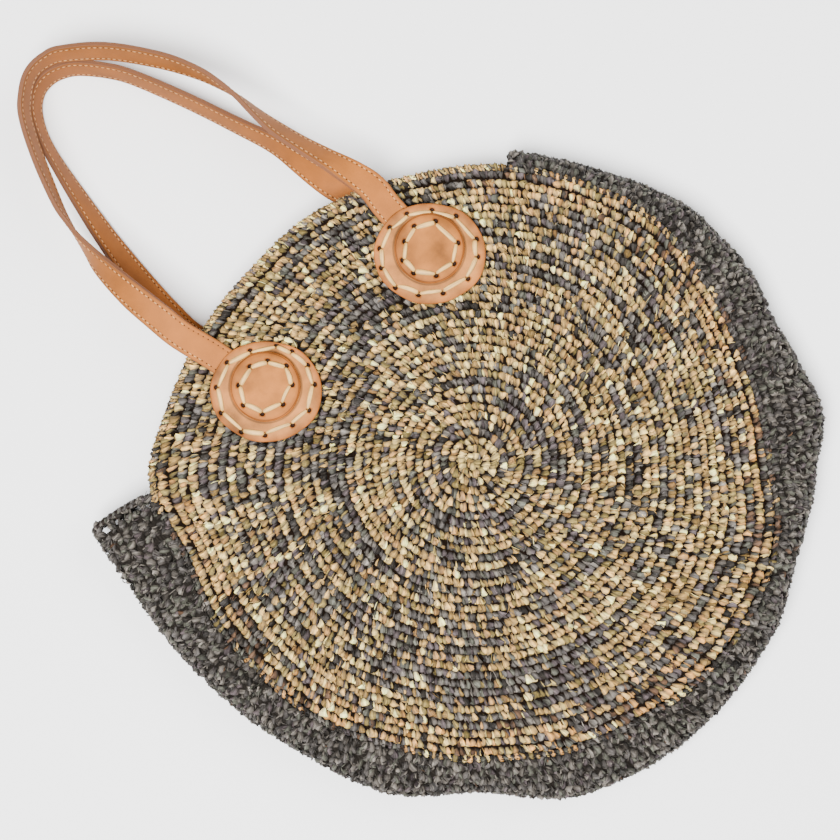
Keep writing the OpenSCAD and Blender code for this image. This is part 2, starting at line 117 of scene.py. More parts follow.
# Outline, lengths along rays from the middle: radius of the panel's edge every 5
# degrees from 0, and of the folded gusset every 4 degrees from its left end
RIM_R = np.array([
    195, 198, 200, 200, 200, 198, 198, 197, 196, 196, 194, 193, 192, 193, 193, 194, 194, 195,
    194, 193, 194, 196, 198, 199, 201, 203, 206, 211, 216, 215, 206, 201, 201, 201, 203, 201,
    199, 200, 200, 201, 200, 198, 197, 196, 197, 199, 198, 198, 200, 202, 203, 204, 204, 206,
    208, 209, 211, 211, 210, 210, 210, 208, 204, 196, 195, 196, 192, 193, 192, 192, 194, 194,
], float)
FOLD_STEP = 4
FOLD_R = np.array([
    256.6, 252.0, 246.4, 241.6, 239.4, 237.2, 235.0, 232.6, 230.0, 229.0, 227.8, 227.0, 225.4,
    225.2, 225.6, 226.8, 227.2, 228.2, 226.8, 224.0, 220.6, 220.0, 222.0, 226.2, 230.4, 233.2,
    233.4, 233.2, 234.0, 233.8, 233.6, 232.6, 232.4, 231.2, 230.4, 229.8, 229.6, 227.8, 225.0,
    224.0, 224.4, 226.0, 227.4, 227.6, 231.6, 234.6, 231.8, 226.8, 223.8, 220.8, 220.6, 222.4,
    223.0, 222.4, 220.8, 221.4, 219.8, 216.6, 214.2, 211.2, 209.0, 208.0, 207.0, 206.6, 206.4,
])
# The fold lags behind the rim at the left end and the rim runs ahead, in degrees; both are
# caught up within this share of the gusset
GUSSET_LAG, RIM_LEAD, LAG_SHARE = 3.0, 1.6, 0.12
# Holes beside the left end's border, as shares of the way from the rim to the fold, and the
# angles from the end, in degrees, between which they lie
END_HOLES = np.array([0.28, 0.48, 0.67, 0.85])
HOLES_FROM, HOLES_TO = 0.7, 2.2
# Hand-punched holes of the two front medallions: angle in degrees and distance from the middle
OUTER_HOLES = {
    "right": [(13, 29.9), (45, 28.3), (78, 29.8), (105, 31.2), (132, 33.0), (154, 33.1),
              (182, 31.7), (212, 27.8), (246, 27.2), (284, 29.7), (314, 31.2), (335, 31.8)],
    "left": [(15, 31.0), (35, 30.9), (69, 28.5), (101, 31.6), (133, 32.6), (163, 32.6),
             (196, 31.0), (226, 28.5), (266, 27.9), (294, 30.5), (326, 31.9), (350, 32.0)],
}
INNER_HOLES = {
    "right": [(38, 21.1), (78, 20.2), (113, 18.1), (152, 18.4), (188, 16.7), (243, 15.1),
              (294, 17.0), (338, 19.4)],
    "left": [(9, 21.4), (44, 19.9), (80, 19.1), (125, 18.0), (169, 17.1), (219, 14.7),
             (281, 14.0), (332, 17.8)],
}
# The cap discs sit a little off the middle of the base discs
CAP_OFF = np.array([1.9, 2.6])
# A base disc is a circle of this radius, drawn out by this share one way
CUT_R, CUT_SHARE, CUT_TURN = 34.8, 0.052, math.radians(42)
# How far a disc sags, the distances from the strap's middle line and from the disc's middle
# where that starts, and the widths over which it is reached
SAG, SAG_ASIDE, SAG_ASIDE_WIDE, SAG_AWAY, SAG_AWAY_WIDE = 2.3, 9.5, 21, 9, 22
# Grid lines of a disc across a hole, counted from the hole's middle, and distances from there:
# those of squares of the grid, and those of the circles that the squares are drawn onto
HOLE_LINES = np.array([-2.5, -1.7, -1.1, 0, 1.1, 1.7, 2.5])
HOLE_DRAWN = [0, 1.1, 1.7], [0, 1.6, 1.85]
# Two bodies, and where the stretch from one to the other starts and ends, in metres
GUSSET_BODIES = ("bag_back", "bag_front", (0, 0, 0), (0, 0, 0.034))
HANDLE_BODIES = {
    "front": ("bag_front", "front_handle", (0, 0.1585, 0.041), (0, 0.172, 0.041)),
    "back": ("bag_back", "back_handle", (0, 0.1585, 0.0024), (0, 0.172, 0.0024)),
}
# Half of the strap's outer face, from the glue line to the middle: across, through
STRAP_FACE = [
    (-9.55, 0.03), (-9.72, 0.35), (-9.72, 1.05), (-9.55, 1.42), (-9.2, 1.60), (-8.2, 1.66),
    (-7.5, 1.58), (-6.95, 1.44), (-6.4, 1.58), (-5.2, 1.68), (-2.5, 1.70), (0, 1.70),
]
# Off the strap's middle line, where its cut edge and the darker shade beside it start
CUT_FROM, SHADED_FROM = 9.5, 9.1
# The photo's camera: lens and sensor, width of the view at the front panel's height in metres,
# place over the bag in metres, and the turn: up in the picture is 42.3 degrees right of +Y
LENS, SENSOR, VIEW_W, VIEW_AT = 85.0, 36.0, 0.5510, (-0.0081, 0.0437)
VIEW_TURN, LAMPS_AIM = math.radians(-42.3), (0, 0.05, 0)
# Half the width of the floor and its height, in metres
FLOOR_HALF, FLOOR_Z = 6.0, -0.0004


# Numbers and shapes


def smooth(t):
    """0 before 0, 1 after 1, and 3t^2 - 2t^3 between them."""
    t = np.clip(t, 0, 1)
    return t * t * (3 - 2 * t)


def around(table, angle):
    """Value of a table with equal steps round the circle at an angle in radians, in between
    by straight lines."""
    n = len(table)
    x = np.mod(angle / (2 * np.pi) * n, n)
    i = np.floor(x).astype(int) % n
    return table[i] + (x - np.floor(x)) * (table[(i + 1) % n] - table[i])


def softened(table):
    """Each value averaged with its two neighbours, weights 1, 2, 1."""
    return (np.roll(table, 1) + 2 * table + np.roll(table, -1)) / 4


RIM_R = softened(RIM_R)


def polar(r, a):
    """x and y at distance r and angle a in radians."""
    return r * np.cos(a), r * np.sin(a)


def unit_rows(v):
    """Rows made unit vectors."""
    return v / np.maximum(np.linalg.norm(v, axis=-1, keepdims=True), 1e-9)


def square_rows(v, along):
    """Rows of v turned square to the unit rows of along, as unit vectors."""
    return unit_rows(v - np.einsum("ij,ij->i", v, along)[:, None] * along)


def length_walked(line):
    """Length from the first point of a line to each of its points."""
    return np.concatenate([[0], np.cumsum(np.linalg.norm(np.diff(line, axis=0), axis=1))])


def read_off(at, walked, *tables):
    """Rows of each table, one for each length walked, read off at other lengths."""
    return [np.column_stack([np.interp(at, walked, q[:, i]) for i in range(3)]) for q in tables]


def with_poles(values):
    """Values of a surface's points, those of the first and the last point given to its poles."""
    return np.concatenate([values[:1], values, values[-1:]])


def draws(rng, n):
    """Two functions that draw n numbers: evenly between two values, and bell shaped with a
    spread round a middle."""

    def even(low, high):
        return rng.uniform(low, high, n)

    def bell(spread, middle=0.0):
        return rng.normal(middle, spread, n)

    return even, bell


def spindle_faces(copies, rings, sides):
    """Quads and triangles of closed shapes whose points are a pole, rings of sides points and
    a second pole; each copy starts after the points of the one before."""
    j = np.arange(sides)
    k = (j + 1) % sides
    base = 1 + sides * np.arange(rings - 1)[:, None]
    quads = np.stack([base + j, base + sides + j, base + sides + k, base + k], -1).reshape(-1, 4)
    last = 1 + rings * sides
    tris = np.concatenate([
        np.stack([0 * j, 1 + j, 1 + k], -1),
        np.stack([0 * j + last, last - sides + k, last - sides + j], -1),
    ])
    step = (last + 1) * np.arange(copies)[:, None, None]
    return (quads + step).reshape(-1, 4), (tris + step).reshape(-1, 3)


def spindle(rings, first, final):
    """Points and faces of one closed shape: rings is rings x sides x 3, first and final are its
    poles."""
    n, sides, _ = rings.shape
    points = np.concatenate([[first], rings.reshape(-1, 3), [final]])
    return points, *spindle_faces(1, n, sides)


def outwards(points, quads, tris):
    """The faces, turned round if they point inwards: then the sum over them of a . (b x c) is
    below zero."""
    t = np.concatenate([quads[:, :3], quads[:, [0, 2, 3]], tris])
    a, b, c = ((points - points.mean(0))[t[:, i]] for i in range(3))
    if np.einsum("ij,ij->", a, np.cross(b, c)) < 0:
        return quads[:, ::-1], tris[:, ::-1]
    return quads, tris


def linked(name, data):
    """A new object of the scene."""
    obj = bpy.data.objects.new(name, data)
    bpy.context.scene.collection.objects.link(obj)
    return obj


def put(name, body, shape, slot, *finishes, picks=None):
    """Writes a closed shape, given by its points, quads, triangles, UV and tint, as a mesh object.
    body is a body's name, to which the object is attached; two bodies with the stretch between
    them are not used, and then only the object's transform is baked. picks gives each face's finish."""
    points, quads, tris, uv, tint = shape
    quads, tris = outwards(points, quads, tris)
    corners = np.concatenate([quads.ravel(), tris.ravel()])
    starts = np.concatenate([4 * np.arange(len(quads)), 4 * len(quads) + 3 * np.arange(len(tris))])
    mesh = bpy.data.meshes.new(name)
    mesh.vertices.add(len(points))
    mesh.vertices.foreach_set("co", (points * MM).ravel())
    mesh.loops.add(len(corners))
    mesh.loops.foreach_set("vertex_index", corners)
    mesh.polygons.add(len(starts))
    mesh.polygons.foreach_set("loop_start", starts)
    for finish in finishes:
        mesh.materials.append(finish)
    if picks is not None:
        mesh.polygons.foreach_set("material_index", picks)
    mesh.update(calc_edges=True)
    if slot.startswith("straw"):
        mesh.shade_flat()
    else:
        mesh.shade_smooth()
    mesh.uv_layers.new(name="UVMap").data.foreach_set("uv", uv[corners].ravel())
    colours = np.ones((len(points), 4))
    colours[:, :3] = tint
    mesh.color_attributes.new("tint", "FLOAT_COLOR", "POINT").data.foreach_set("color", colours.ravel())
    if mesh.validate():
        raise RuntimeError(f"the mesh of {name} had faults")
    obj = linked(name, mesh)
    if isinstance(body, str):
        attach(obj, body)
    else:
        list(body)
        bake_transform(obj)
    return obj


class Strands:
    """Closed ribbons of straw, lace or thread, pointed at both ends, gathered for one mesh.

    A ribbon runs from start to end on a small flat patch, its place: a middle and the axes u, v
    and w, where w is up. With t from 0 to 1 along it, and late the power of t that is 1/2 at
    t = crest, its line is the straight one, pushed sideways by bend * 4 late (1 - late) and up
    by depth + arch * 4 late (1 - late). Its half width and thickness are half and thick times
    sin(pi (0.1 + 0.8 t))^blunt (1 + taper (t - 1/2)). With 4 sides it is straw: a roof whose
    ridge, width and line are off by chance at every ring, so that it looks crumpled. With more
    sides, for lace and thread, its section is an ellipse, flattened below."""

    # Of straw, as shares of its half width: how far its ridge lies off the middle at most, how
    # much more at a ring, and how far its line strays; then the limits of a factor on its width
    RIDGE_SHARE, RING_RIDGE_SHARE, STRAY_SHARE, WIDTH_SHARES = 0.6, 0.5, 0.14, (0.72, 1.22)
    # Height of any section's underside as a share of its upper side's
    BELOW_SHARE = 0.4

    def __init__(self, rings=3, sides=4):
        self.rings, self.sides, self.roof, self.parts = rings, sides, sides == 4, []

    def add(self, place, start, end, half, thick, arch, depth, bend, tint, rng, taper=0.0,
            crest=0.5, blunt=0.6):
        """Adds one ribbon for each place, with its colour tint."""
        n, rings = len(start), self.rings + 2
        full = [np.broadcast_to(np.asarray(x, float), (n,)) for x in (half, thick, arch, depth, bend)]
        half, thick, arch, depth, bend = (x[:, None] for x in full)
        centre, u, v, w = (x[:, None, None] for x in place)
        t = np.concatenate([[0], (np.arange(self.rings) + 0.5) / self.rings, [1]])[None]
        reach = np.linalg.norm(end - start, axis=1, keepdims=True)
        way = (end - start) / reach
        side = np.stack([way[:, 1], -way[:, 0]], -1)
        late = t ** (math.log(0.5) / math.log(crest))
        hump = 4 * late * (1 - late)
        line = start[:, None] + (reach * t)[..., None] * way[:, None]
        line = line + (bend * hump)[..., None] * side[:, None]
        swell = np.sin(np.pi * (0.1 + 0.8 * t)) ** blunt * (1 + taper * (t - 0.5))
        a = 2 * np.pi * (np.arange(self.sides) + (0.0 if self.roof else 0.5)) / self.sides
        over = np.where(np.sin(a) > 0, np.sin(a), self.BELOW_SHARE * np.sin(a))
        ridge = rng.uniform(-self.RIDGE_SHARE, self.RIDGE_SHARE, (n, 1, 1))
        ridge = ridge + rng.uniform(-self.RING_RIDGE_SHARE, self.RING_RIDGE_SHARE, (n, rings, 1))
        if self.roof:
            swell = swell * rng.uniform(*self.WIDTH_SHARES, (n, rings))
            stray = rng.normal(0, self.STRAY_SHARE, (n, rings)) * half
            line = line + stray[..., None] * side[:, None]
        across = (half * swell)[..., None] * (np.cos(a) + ridge * np.maximum(np.sin(a), 0) * self.roof)
        p = line[:, :, None] + across[..., None] * side[:, None, None]
        z = (depth + arch * hump)[..., None] + (thick * swell)[..., None] * over
        spot = centre + p[..., :1] * u + p[..., 1:] * v + z[..., None] * w
        first, final = spot[:, :1].mean(2), spot[:, -1:].mean(2)
        points = np.concatenate([first, spot[:, 1:-1].reshape(n, -1, 3), final], 1)
        flat = np.stack([across, np.broadcast_to((reach * t)[..., None], across.shape)], -1)
        uv = np.concatenate([flat[:, :1, 0], flat[:, 1:-1].reshape(n, -1, 2), flat[:, -1:, 0]], 1)
        # Each ribbon gets its own stretch of the streaks
        uv = (uv + rng.uniform(0, 400, (n, 1, 2))) / 10
        # Painted light: the tint is brightened on straw's ridges and darkened as painted shade at the ends
        # and flanks
        light = self.light(hump, a, n, rng)
        light = np.concatenate([light[:, 0, :1], light[:, 1:-1].reshape(n, -1), light[:, -1, :1]], 1)
        light = light[..., None]
        tint = tint[:, None]
        # Where painted shade darkens the tint, its colour also turns towards a brown grey of the tint's
        # brightness
        painted_shade_hue = tint.mean(-1, keepdims=True) * (1.1, 0.9, 0.7)
        own = np.minimum(light, 1)
        self.parts.append((points, uv, np.minimum(light * (own * tint + (1 - own) * painted_shade_hue), 0.95)))

    def light(self, hump, a, n, rng):
        """Painted light and shade in the tint of the points: dark at the ends. Straw has a painted
        highlight on its ridge; one flank, mostly the same one, has dark painted shade and the
        other dim. Lace and thread have a little painted shade at the edges."""
        if not self.roof:
            light = (0.6 + 0.4 * hump**0.7)[..., None] * np.where(np.sin(a) > 0.6, 1.0, 0.68)
            return np.broadcast_to(light, (n, *light.shape[1:]))
        turned = np.where(rng.random((n, 1, 1)) < 0.75, 1, -1)
        flank = np.where(np.cos(a) * turned > 0, 0.22, 0.6)
        return (0.10 + 0.90 * hump**0.9)[..., None] * np.where(np.sin(a) > 0.2, 1.6, flank)

    def shape(self, move=None):
        """Points, quads, triangles, UV and tint of all the ribbons; move changes the points."""
        parts = zip(*self.parts, strict=True)
        points, uv, tint = (np.concatenate([q.reshape(-1, q.shape[-1]) for q in part]) for part in parts)
        quads, tris = spindle_faces(sum(len(part[0]) for part in self.parts), self.rings, self.sides)
        return (points if move is None else move(points)), quads, tris, uv, tint


# Sizes and colours


def length(name, default, text, low=0.0, high=1000.0):
    """A property that holds a number."""
    return FloatProperty(name=name, description=text, default=default, min=low, max=high)


def colour(name, r, g, b, text):
    """A colour property from the three 0 to 255 values of a screen colour."""
    linear = tuple((c / 255 / 12.92) if c < 11 else ((c / 255 + 0.055) / 1.055) ** 2.4 for c in (r, g, b))
    return FloatVectorProperty(
        name=name, description=text, default=linear, subtype="COLOR", size=3, min=0, max=1
    )


class StrawSettings(bpy.types.PropertyGroup):
    """Sizes and colours of the crocheted straw."""

    row: length("Row", 5.564, "Height of one round of stitches, in millimetres", 3, 9)
    pitch: length("Pitch", 4.9, "Length of one stitch along its round, in millimetres", 3, 9)
    gusset_row: length("Gusset row", 6.0, "Height of one row of the gusset, in millimetres", 3, 9)
    gusset_pitch: length("Gusset pitch", 5.2, "Length of one stitch of the gusset, in millimetres", 3, 9)
    straw_light: colour("Straw light", 232, 200, 120, "Palest natural straw")
    straw: colour("Straw", 182, 144, 80, "Natural straw")
    straw_pink: colour("Straw pink", 172, 128, 74, "Pinkish natural straw")
    straw_green: colour("Straw green", 146, 126, 70, "Greenish natural straw")
    rim_orange: colour("Rim", 184, 132, 68, "Warm straw of the rounds beside the gusset")
    rim_brown: colour("Rim dark", 84, 62, 46, "Dark brown between them")
    charcoal: colour("Charcoal", 74, 70, 67, "Charcoal straw")
    charcoal_light: colour("Charcoal light", 102, 96, 89, "Faded charcoal straw")
    charcoal_violet: colour("Charcoal violet", 75, 66, 67, "Charcoal straw with a violet tinge")
    charcoal_green: colour("Charcoal green", 79, 79, 70, "Charcoal straw with a green tinge")
    charcoal_dark: colour("Charcoal dark", 47, 43, 39, "Darkest charcoal straw")
    # Painted shade: the colour of the cores under the stitches, where only shade shows between them
    shade: colour("Shade", 19, 13, 9, "Straw deep between the stitches")


class LeatherSettings(bpy.types.PropertyGroup):
    """Colours of the leather, lace and thread."""

    strap: colour("Strap", 152, 90, 37, "Leather of the front handle")
    strap_back: colour("Back strap", 150, 88, 36, "Leather of the back handle")
    cut: colour("Cut edge", 136, 80, 40, "Cut edge of the leather")
    disc: colour("Disc", 157, 100, 49, "Leather of the base discs")
    cap: colour("Cap", 146, 88, 36, "Leather of the cap discs")
    backing: colour("Backing", 140, 96, 60, "Leather of the backing discs")
    lace: colour("Lace", 220, 172, 96, "Cream lace")
    thread: colour("Thread", 216, 162, 102, "Sewing thread")


class StageSettings(bpy.types.PropertyGroup):
    """Floor and light."""

    floor: colour("Floor", 250, 250, 250, "Colour of the floor")
    world: length("Sky", 0.4, "Strength of the even light from all sides", 0, 5)
    key: length("Key", 190.0, "Power of the large lamp, in watts", 0, 1000)
    fill: length("Fill", 22.0, "Power of the second lamp, in watts", 0, 1000)


# Finishes


class Number:
    """A socket that carries a number; the operators add Math nodes."""

    def __init__(self, finish, socket):
        self.finish, self.socket = finish, socket

    def _with(self, operation, *others):
        return self.finish.node("ShaderNodeMath", {"operation": operation}, dict(enumerate((self, *others))))

    def __add__(self, other):
        return self._with("ADD", other)

    def __mul__(self, other):
        return self._with("MULTIPLY", other)

    def __sub__(self, other):
        return self._with("SUBTRACT", other)

    def __rsub__(self, other):
        return self * -1.0 + other

    __radd__, __rmul__ = __add__, __mul__

    def wrapped(self, low, high):
        """Brought between low and high by whole steps."""
        return self._with("WRAP", high, low)

    def size(self):
        """Without its sign."""
        return self._with("ABSOLUTE")

    def root(self):
        """Square root."""
        return self._with("SQRT")

    def between(self, low, high):
        """0 below low, 1 above high, smooth in between."""
        settings = {"interpolation_type": "SMOOTHSTEP"}
        return self.finish.node("ShaderNodeMapRange", settings, {0: self, 1: low, 2: high})


class Finish:
    """A material under construction on its surface shader."""

    def __init__(self, name, **constants):
        self.material = bpy.data.materials.new(name)
        self.material.use_nodes = True
        self.tree = self.material.node_tree
        self.shader = self.tree.nodes["Principled BSDF"]
        for key, value in constants.items():
            self.shader.inputs[key.replace("_", " ")].default_value = value

    def node(self, kind, settings=None, sockets=None, out=0):
        """Adds a node, sets it, then fills its sockets with values or links."""
        made = self.tree.nodes.new(kind)
        for key, value in (settings or {}).items():
            setattr(made, key, value)
        for key, value in (sockets or {}).items():
            self.feed(made.inputs[key], value)
        return Number(self, made.outputs[out])

    def feed(self, socket, value):
        """Links a number to a socket, or sets the socket to a value or a colour."""
        if isinstance(value, Number):
            self.tree.links.new(value.socket, socket)
        elif hasattr(value, "__len__") and len(value) == 3 and len(socket.default_value) == 4:
            socket.default_value = (*value, 1)
        else:
            socket.default_value = value

    def noise(self, vector, scale, detail=2.0, rough=0.5):
        """Cloudy noise from 0 to 1."""
        sockets = {"Vector": vector, "Scale": scale, "Detail": detail, "Roughness": rough}
        return self.node("ShaderNodeTexNoise", None, sockets)

    def stretched(self, vector, scale):
        """A place scaled along each axis."""
        return self.node("ShaderNodeMapping", None, {"Vector": vector, "Scale": scale})

    def mix(self, factor, a, b, blend="MIX"):
        """Colour a turned into colour b by factor."""
        settings = {"data_type": "RGBA", "blend_type": blend, "clamp_factor": True}
        return self.node("ShaderNodeMix", settings, {0: factor, 6: a, 7: b}, 2)

    def scaled(self, shade, factor):
        """A colour times a number."""
        return self.node("ShaderNodeVectorMath", {"operation": "SCALE"}, {0: shade, "Scale": factor})

    def tint(self):
        """The tint on the piece's points."""
        return self.node("ShaderNodeAttribute", {"attribute_name": "tint"})

    def tinted(self, shade):
        """A colour times the tint."""
        return self.mix(1.0, shade, self.tint(), "MULTIPLY")

    def place(self):
        """Place on the object, in metres."""
        return self.node("ShaderNodeTexCoord", None, None, "Object")

    def uv(self):
        """Place on the piece's UV map, in centimetres."""
        return self.node("ShaderNodeUVMap", {"uv_map": "UVMap"})

    def parts(self, vector):
        """The three parts of a place."""
        split = self.node("ShaderNodeSeparateXYZ", None, {0: vector}).socket.node
        return [Number(self, s) for s in split.outputs]

    def bump(self, height, distance, strength):
        """Relief of a height that is distance metres high at 1."""
        sockets = {"Height": height, "Distance": distance, "Strength": strength}
        self.feed(self.shader.inputs["Normal"], self.node("ShaderNodeBump", None, sockets))

    def done(self, base, rough):
        """The material with its base colour and roughness."""
        self.feed(self.shader.inputs["Base Color"], base)
        self.feed(self.shader.inputs["Roughness"], rough)
        return self.material


def straw_finish(name, gloss=0.14):
    """Raffia: the strand's own tint, darker and paler streaks along its fibres."""
    f = Finish(name, Specular_IOR_Level=gloss)
    streaks = f.noise(f.stretched(f.uv(), (7.0, 0.9, 1.0)), scale=1.4, detail=3.0)
    patches = f.noise(f.place(), scale=260.0)
    base = f.scaled(f.tint(), 0.45 + streaks.between(0.25, 0.75) * 0.8 + patches * 0.3)
    f.bump(streaks, distance=0.0008, strength=0.8)
    return f.done(base, rough=0.4 + streaks * 0.25)


def leather_finish(name, base, mottle, holes=False, creases=()):
    """Smooth tanned leather: cloudy colour, fine grain, pores, on a strap the needle holes along
    its rows of stitches, darkened as painted shade, and on a disc dark rings, each given by its
    middle's x and y, its radius and its width: pressed lines and painted shadow round a cap."""
    f = Finish(name, Specular_IOR_Level=0.12)
    place = f.place()
    clouds = f.noise(place, scale=55.0, detail=4.0)
    grain = f.noise(place, scale=900.0, detail=3.0, rough=0.6)
    pores = f.node("ShaderNodeTexVoronoi", {"feature": "F1"}, {"Vector": place, "Scale": 620.0}, "Distance")
    blotches = f.noise(place, scale=140.0)
    light = 1 + (clouds - 0.5) * (mottle * 3) + (grain - 0.5) * 0.16 + (blotches - 0.5) * 0.14
    shade = f.scaled(f.tinted(base), light)
    height = grain * 0.5 + pores * 0.5
    if creases:
        height = height + clouds * 5.0
        x, y, _ = f.parts(place)
    # Each ring is darkened to 0.45 in its middle: painted shadow round the cap on a base disc, a pressed line
    # on a cap
    for mid_x, mid_y, radius, wide in creases:
        dx, dy = x - mid_x * MM, y - mid_y * MM
        off = ((dx * dx + dy * dy).root() - radius * MM).size()
        shade = f.scaled(shade, 0.45 + 0.55 * off.between(0.1 * wide * MM, wide * MM))
    if holes:
        across, along, _ = f.parts(f.uv())
        row = (across.size() - STITCH_ROW / 10).size()
        step = (along.wrapped(0.0, THREAD_PITCH / 10) - THREAD_PITCH / 20).size()
        away = (row * row + step * step).root()
        # Painted shade in the needle holes, darkened to 0.12 in their middle
        shade = f.scaled(shade, 0.12 + 0.88 * away.between(0.035, 0.06))
        height = height + away.between(0.0, 0.07) * 0.8
    f.bump(height, distance=0.00018, strength=0.55)
    return f.done(shade, rough=0.5 + grain * 0.2 + clouds * 0.08)


def cut_finish(name, base):
    """Cut edge of leather: fibrous, matt, in fine layers."""
    f = Finish(name)
    fibres = f.noise(f.place(), scale=1500.0, detail=3.0)
    f.bump(fibres, distance=0.0002, strength=0.6)
    return f.done(f.scaled(f.tinted(base), 0.7 + fibres * 0.6), rough=0.75)


def lace_finish(name, base):
    """Flat cream lace: long soft creases and a little dirt."""
    f = Finish(name)
    creases = f.noise(f.stretched(f.uv(), (7.0, 0.5, 1.0)), scale=1.5)
    dirt = f.noise(f.place(), scale=420.0)
    f.bump(creases, distance=0.0003, strength=0.7)
    return f.done(f.scaled(f.tinted(base), 0.5 + creases.between(0.3, 0.6) * 0.4 + dirt * 0.25), rough=0.55)


def plain_leather_finish(name, base):
    """Flesh side of leather on a node of the CAD frame, which carries no tint."""
    f = Finish(name)
    nap = f.noise(f.place(), scale=700.0, detail=3.0)
    f.bump(nap, distance=0.0002, strength=0.7)
    return f.done(f.mix(nap, [c * 0.75 for c in base], [c * 1.2 for c in base]), rough=0.8)


# Straw


def lift_at(y):
    """Rise of the back panel over its medallions."""
    return BACK_LIFT * smooth((y - LIFT_START) / (LIFT_END - LIFT_START))


def warped(p):
    """A round panel moved out to its listed rim: the radius r grows by (rim / R - 1) times
    (r / R)^2 of itself, where R is the bag's radius."""
    r, a = np.hypot(p[:, 0], p[:, 1]), np.arctan2(p[:, 1], p[:, 0])
    share = (around(RIM_R, a) / BAG_R - 1) * (r / BAG_R) ** 2
    return np.column_stack([p[:, :2] * (1 + share)[:, None], p[:, 2]])


def to_front(p):
    """From a flat panel, heights counted outwards from its face, to the front of the bag."""
    return warped(p) + (0, 0, FLAT_H)


def to_back(p):
    """The same for the back panel: turned over about +Y and laid over its lift."""
    q = warped(p * (-1, 1, 1))
    return np.column_stack([q[:, :2], lift_at(q[:, 1]) + STRAW_PROUD - q[:, 2]])


def runs(n, rng):
    """True for natural and False for charcoal straw along n stitches, in runs of chance
    lengths. Natural runs last 2.5 or 12 stitches on average, as many of each, and charcoal ones
    2 or 9, the short ones six times in ten."""
    m = n // 2 + 9
    light = np.where(rng.random(m) < 0.5, rng.geometric(1 / 2.5, m), rng.geometric(1 / 12, m))
    dark = np.where(rng.random(m) < 0.6, rng.geometric(1 / 2.0, m), rng.geometric(1 / 9, m))
    lengths = np.stack([light, dark], 1).ravel()
    return np.repeat(np.arange(2 * m) % 2 == 0, lengths)[:n]


def picked(shades, chances, n, rng, spread=0.33, middle=-0.1):
    """n colours drawn from shades by their chances, each times e^x, where x is bell shaped with
    a spread round a middle and kept from -1.3 to 0.3."""
    light = np.exp(np.clip(rng.normal(middle, spread, (n, 1)), -1.3, 0.3))
    drawn = rng.choice(len(shades), n, p=np.array(chances) / np.sum(chances))
    return np.array([list(shade) for shade in shades])[drawn] * light


def charcoals(s):
    """The five charcoal straws."""
    return [s.charcoal, s.charcoal_light, s.charcoal_violet, s.charcoal_green, s.charcoal_dark]


def marled(s, natural, rim, rng):
    """Colours of mixed straw, natural or charcoal; rim is the chance that a stitch has the warm
    or the brown straw of the rim instead."""
    n = len(natural)
    naturals = [s.straw_light, s.straw, s.straw_pink, s.straw_green]
    light = picked(naturals, [24, 47, 9, 20], n, rng, 0.44, -0.3)
    dark = picked(charcoals(s), [30, 22, 18, 14, 16], n, rng)
    warm = picked([s.rim_orange, s.straw], [70, 30], n, rng)
    brown = picked([s.rim_brown, s.charcoal_dark], [70, 30], n, rng)
    by_rim = (rng.random(n) < rim)[:, None]
    return np.where(natural[:, None], np.where(by_rim, warm, light), np.where(by_rim, brown, dark))


def greys(s, n, rng, brown=0.8):
    """Colours of n strands of charcoal straw; brown is the weight of brown among about 100."""
    return picked([*charcoals(s), s.rim_brown], [32, 28, 8, 20, 12, brown], n, rng) * 0.74


def counted(n):
    """For n[0] things in row 0, n[1] in row 1 and so on: the row of each and its number there."""
    return np.repeat(np.arange(len(n)), n), np.arange(n.sum()) - np.repeat(np.cumsum(n) - n, n)


def flat_places(r, a):
    """Middle, along the round, away from the bag's middle and up, for places on a flat panel."""
    x, y = polar(r, a)
    c, s = polar(1, a)
    zero = np.zeros_like(a)
    return [np.column_stack(q) for q in ((x, y, zero), (-s, c, zero), (c, s, zero), (zero, zero, zero + 1))]


def legs_and_loop(strands, place, row, pitch, tint_a, tint_b, rng, loops):
    """One stitch for each place: a broad leg that leans along the round and a narrower one beside
    it, both arched, and with loops a low loop behind them, darkened as painted shade. Their ends
    are given as shares of pitch and row from the stitch's middle."""
    even, bell = draws(rng, len(place[0]))

    def near(x, y):
        return np.column_stack([(x + bell(0.13)) * pitch, (y + bell(0.10)) * row])

    lean = bell(0.17)
    if loops:
        # The low loop lies under the legs: its tint times 0.7 is painted shade
        strands.add(
            place, near(-0.50, 0.02), near(0.56, 0.34), half=even(0.22, 0.32) * row, thick=0.6,
            arch=0.4, depth=-1.8, bend=bell(0.2), tint=tint_b * 0.7, rng=rng,
        )
    share = even(0.5, 0.82)
    x = 0.5 - share / 2
    strands.add(
        place, near(x - 0.34 + lean * 0.5, -0.62), near(x + 0.26 + lean, 0.50),
        half=share * pitch * 0.60, thick=even(0.9, 1.6), arch=even(0.9, 1.8), depth=-2.0,
        bend=bell(0.4, 0.3), tint=tint_a, rng=rng, taper=1.0, crest=0.62, blunt=0.5,
    )
    x = -share / 2
    strands.add(
        place, near(x - 0.22 + lean * 0.5, -0.60), near(x + 0.20 + lean, 0.48),
        half=(1 - share) * pitch * 0.68, thick=even(0.8, 1.4), arch=even(0.7, 1.6), depth=-2.0,
        bend=bell(0.3, -0.2), tint=tint_b, rng=rng, taper=1.0, crest=0.64, blunt=0.5,
    )


def fibres(strands, place, share, row, pitch, tint, rng, depth=-0.35):
    """Thin stray fibres that lie across a share of the stitches."""
    keep = rng.random(len(place[0])) < share
    even, bell = draws(rng, keep.sum())
    lean = bell(0.5, 0.35)
    way = np.column_stack([np.sin(lean), np.cos(lean)]) * (even(0.35, 0.75) * row)[:, None]
    off = np.column_stack([even(-0.4, 0.4) * pitch, even(-0.3, 0.3) * row])
    strands.add(
        [p[keep] for p in place], off - way, off + way, half=even(0.14, 0.28), thick=0.2,
        arch=0.5, depth=depth, bend=bell(0.5), tint=tint[keep], rng=rng,
    )


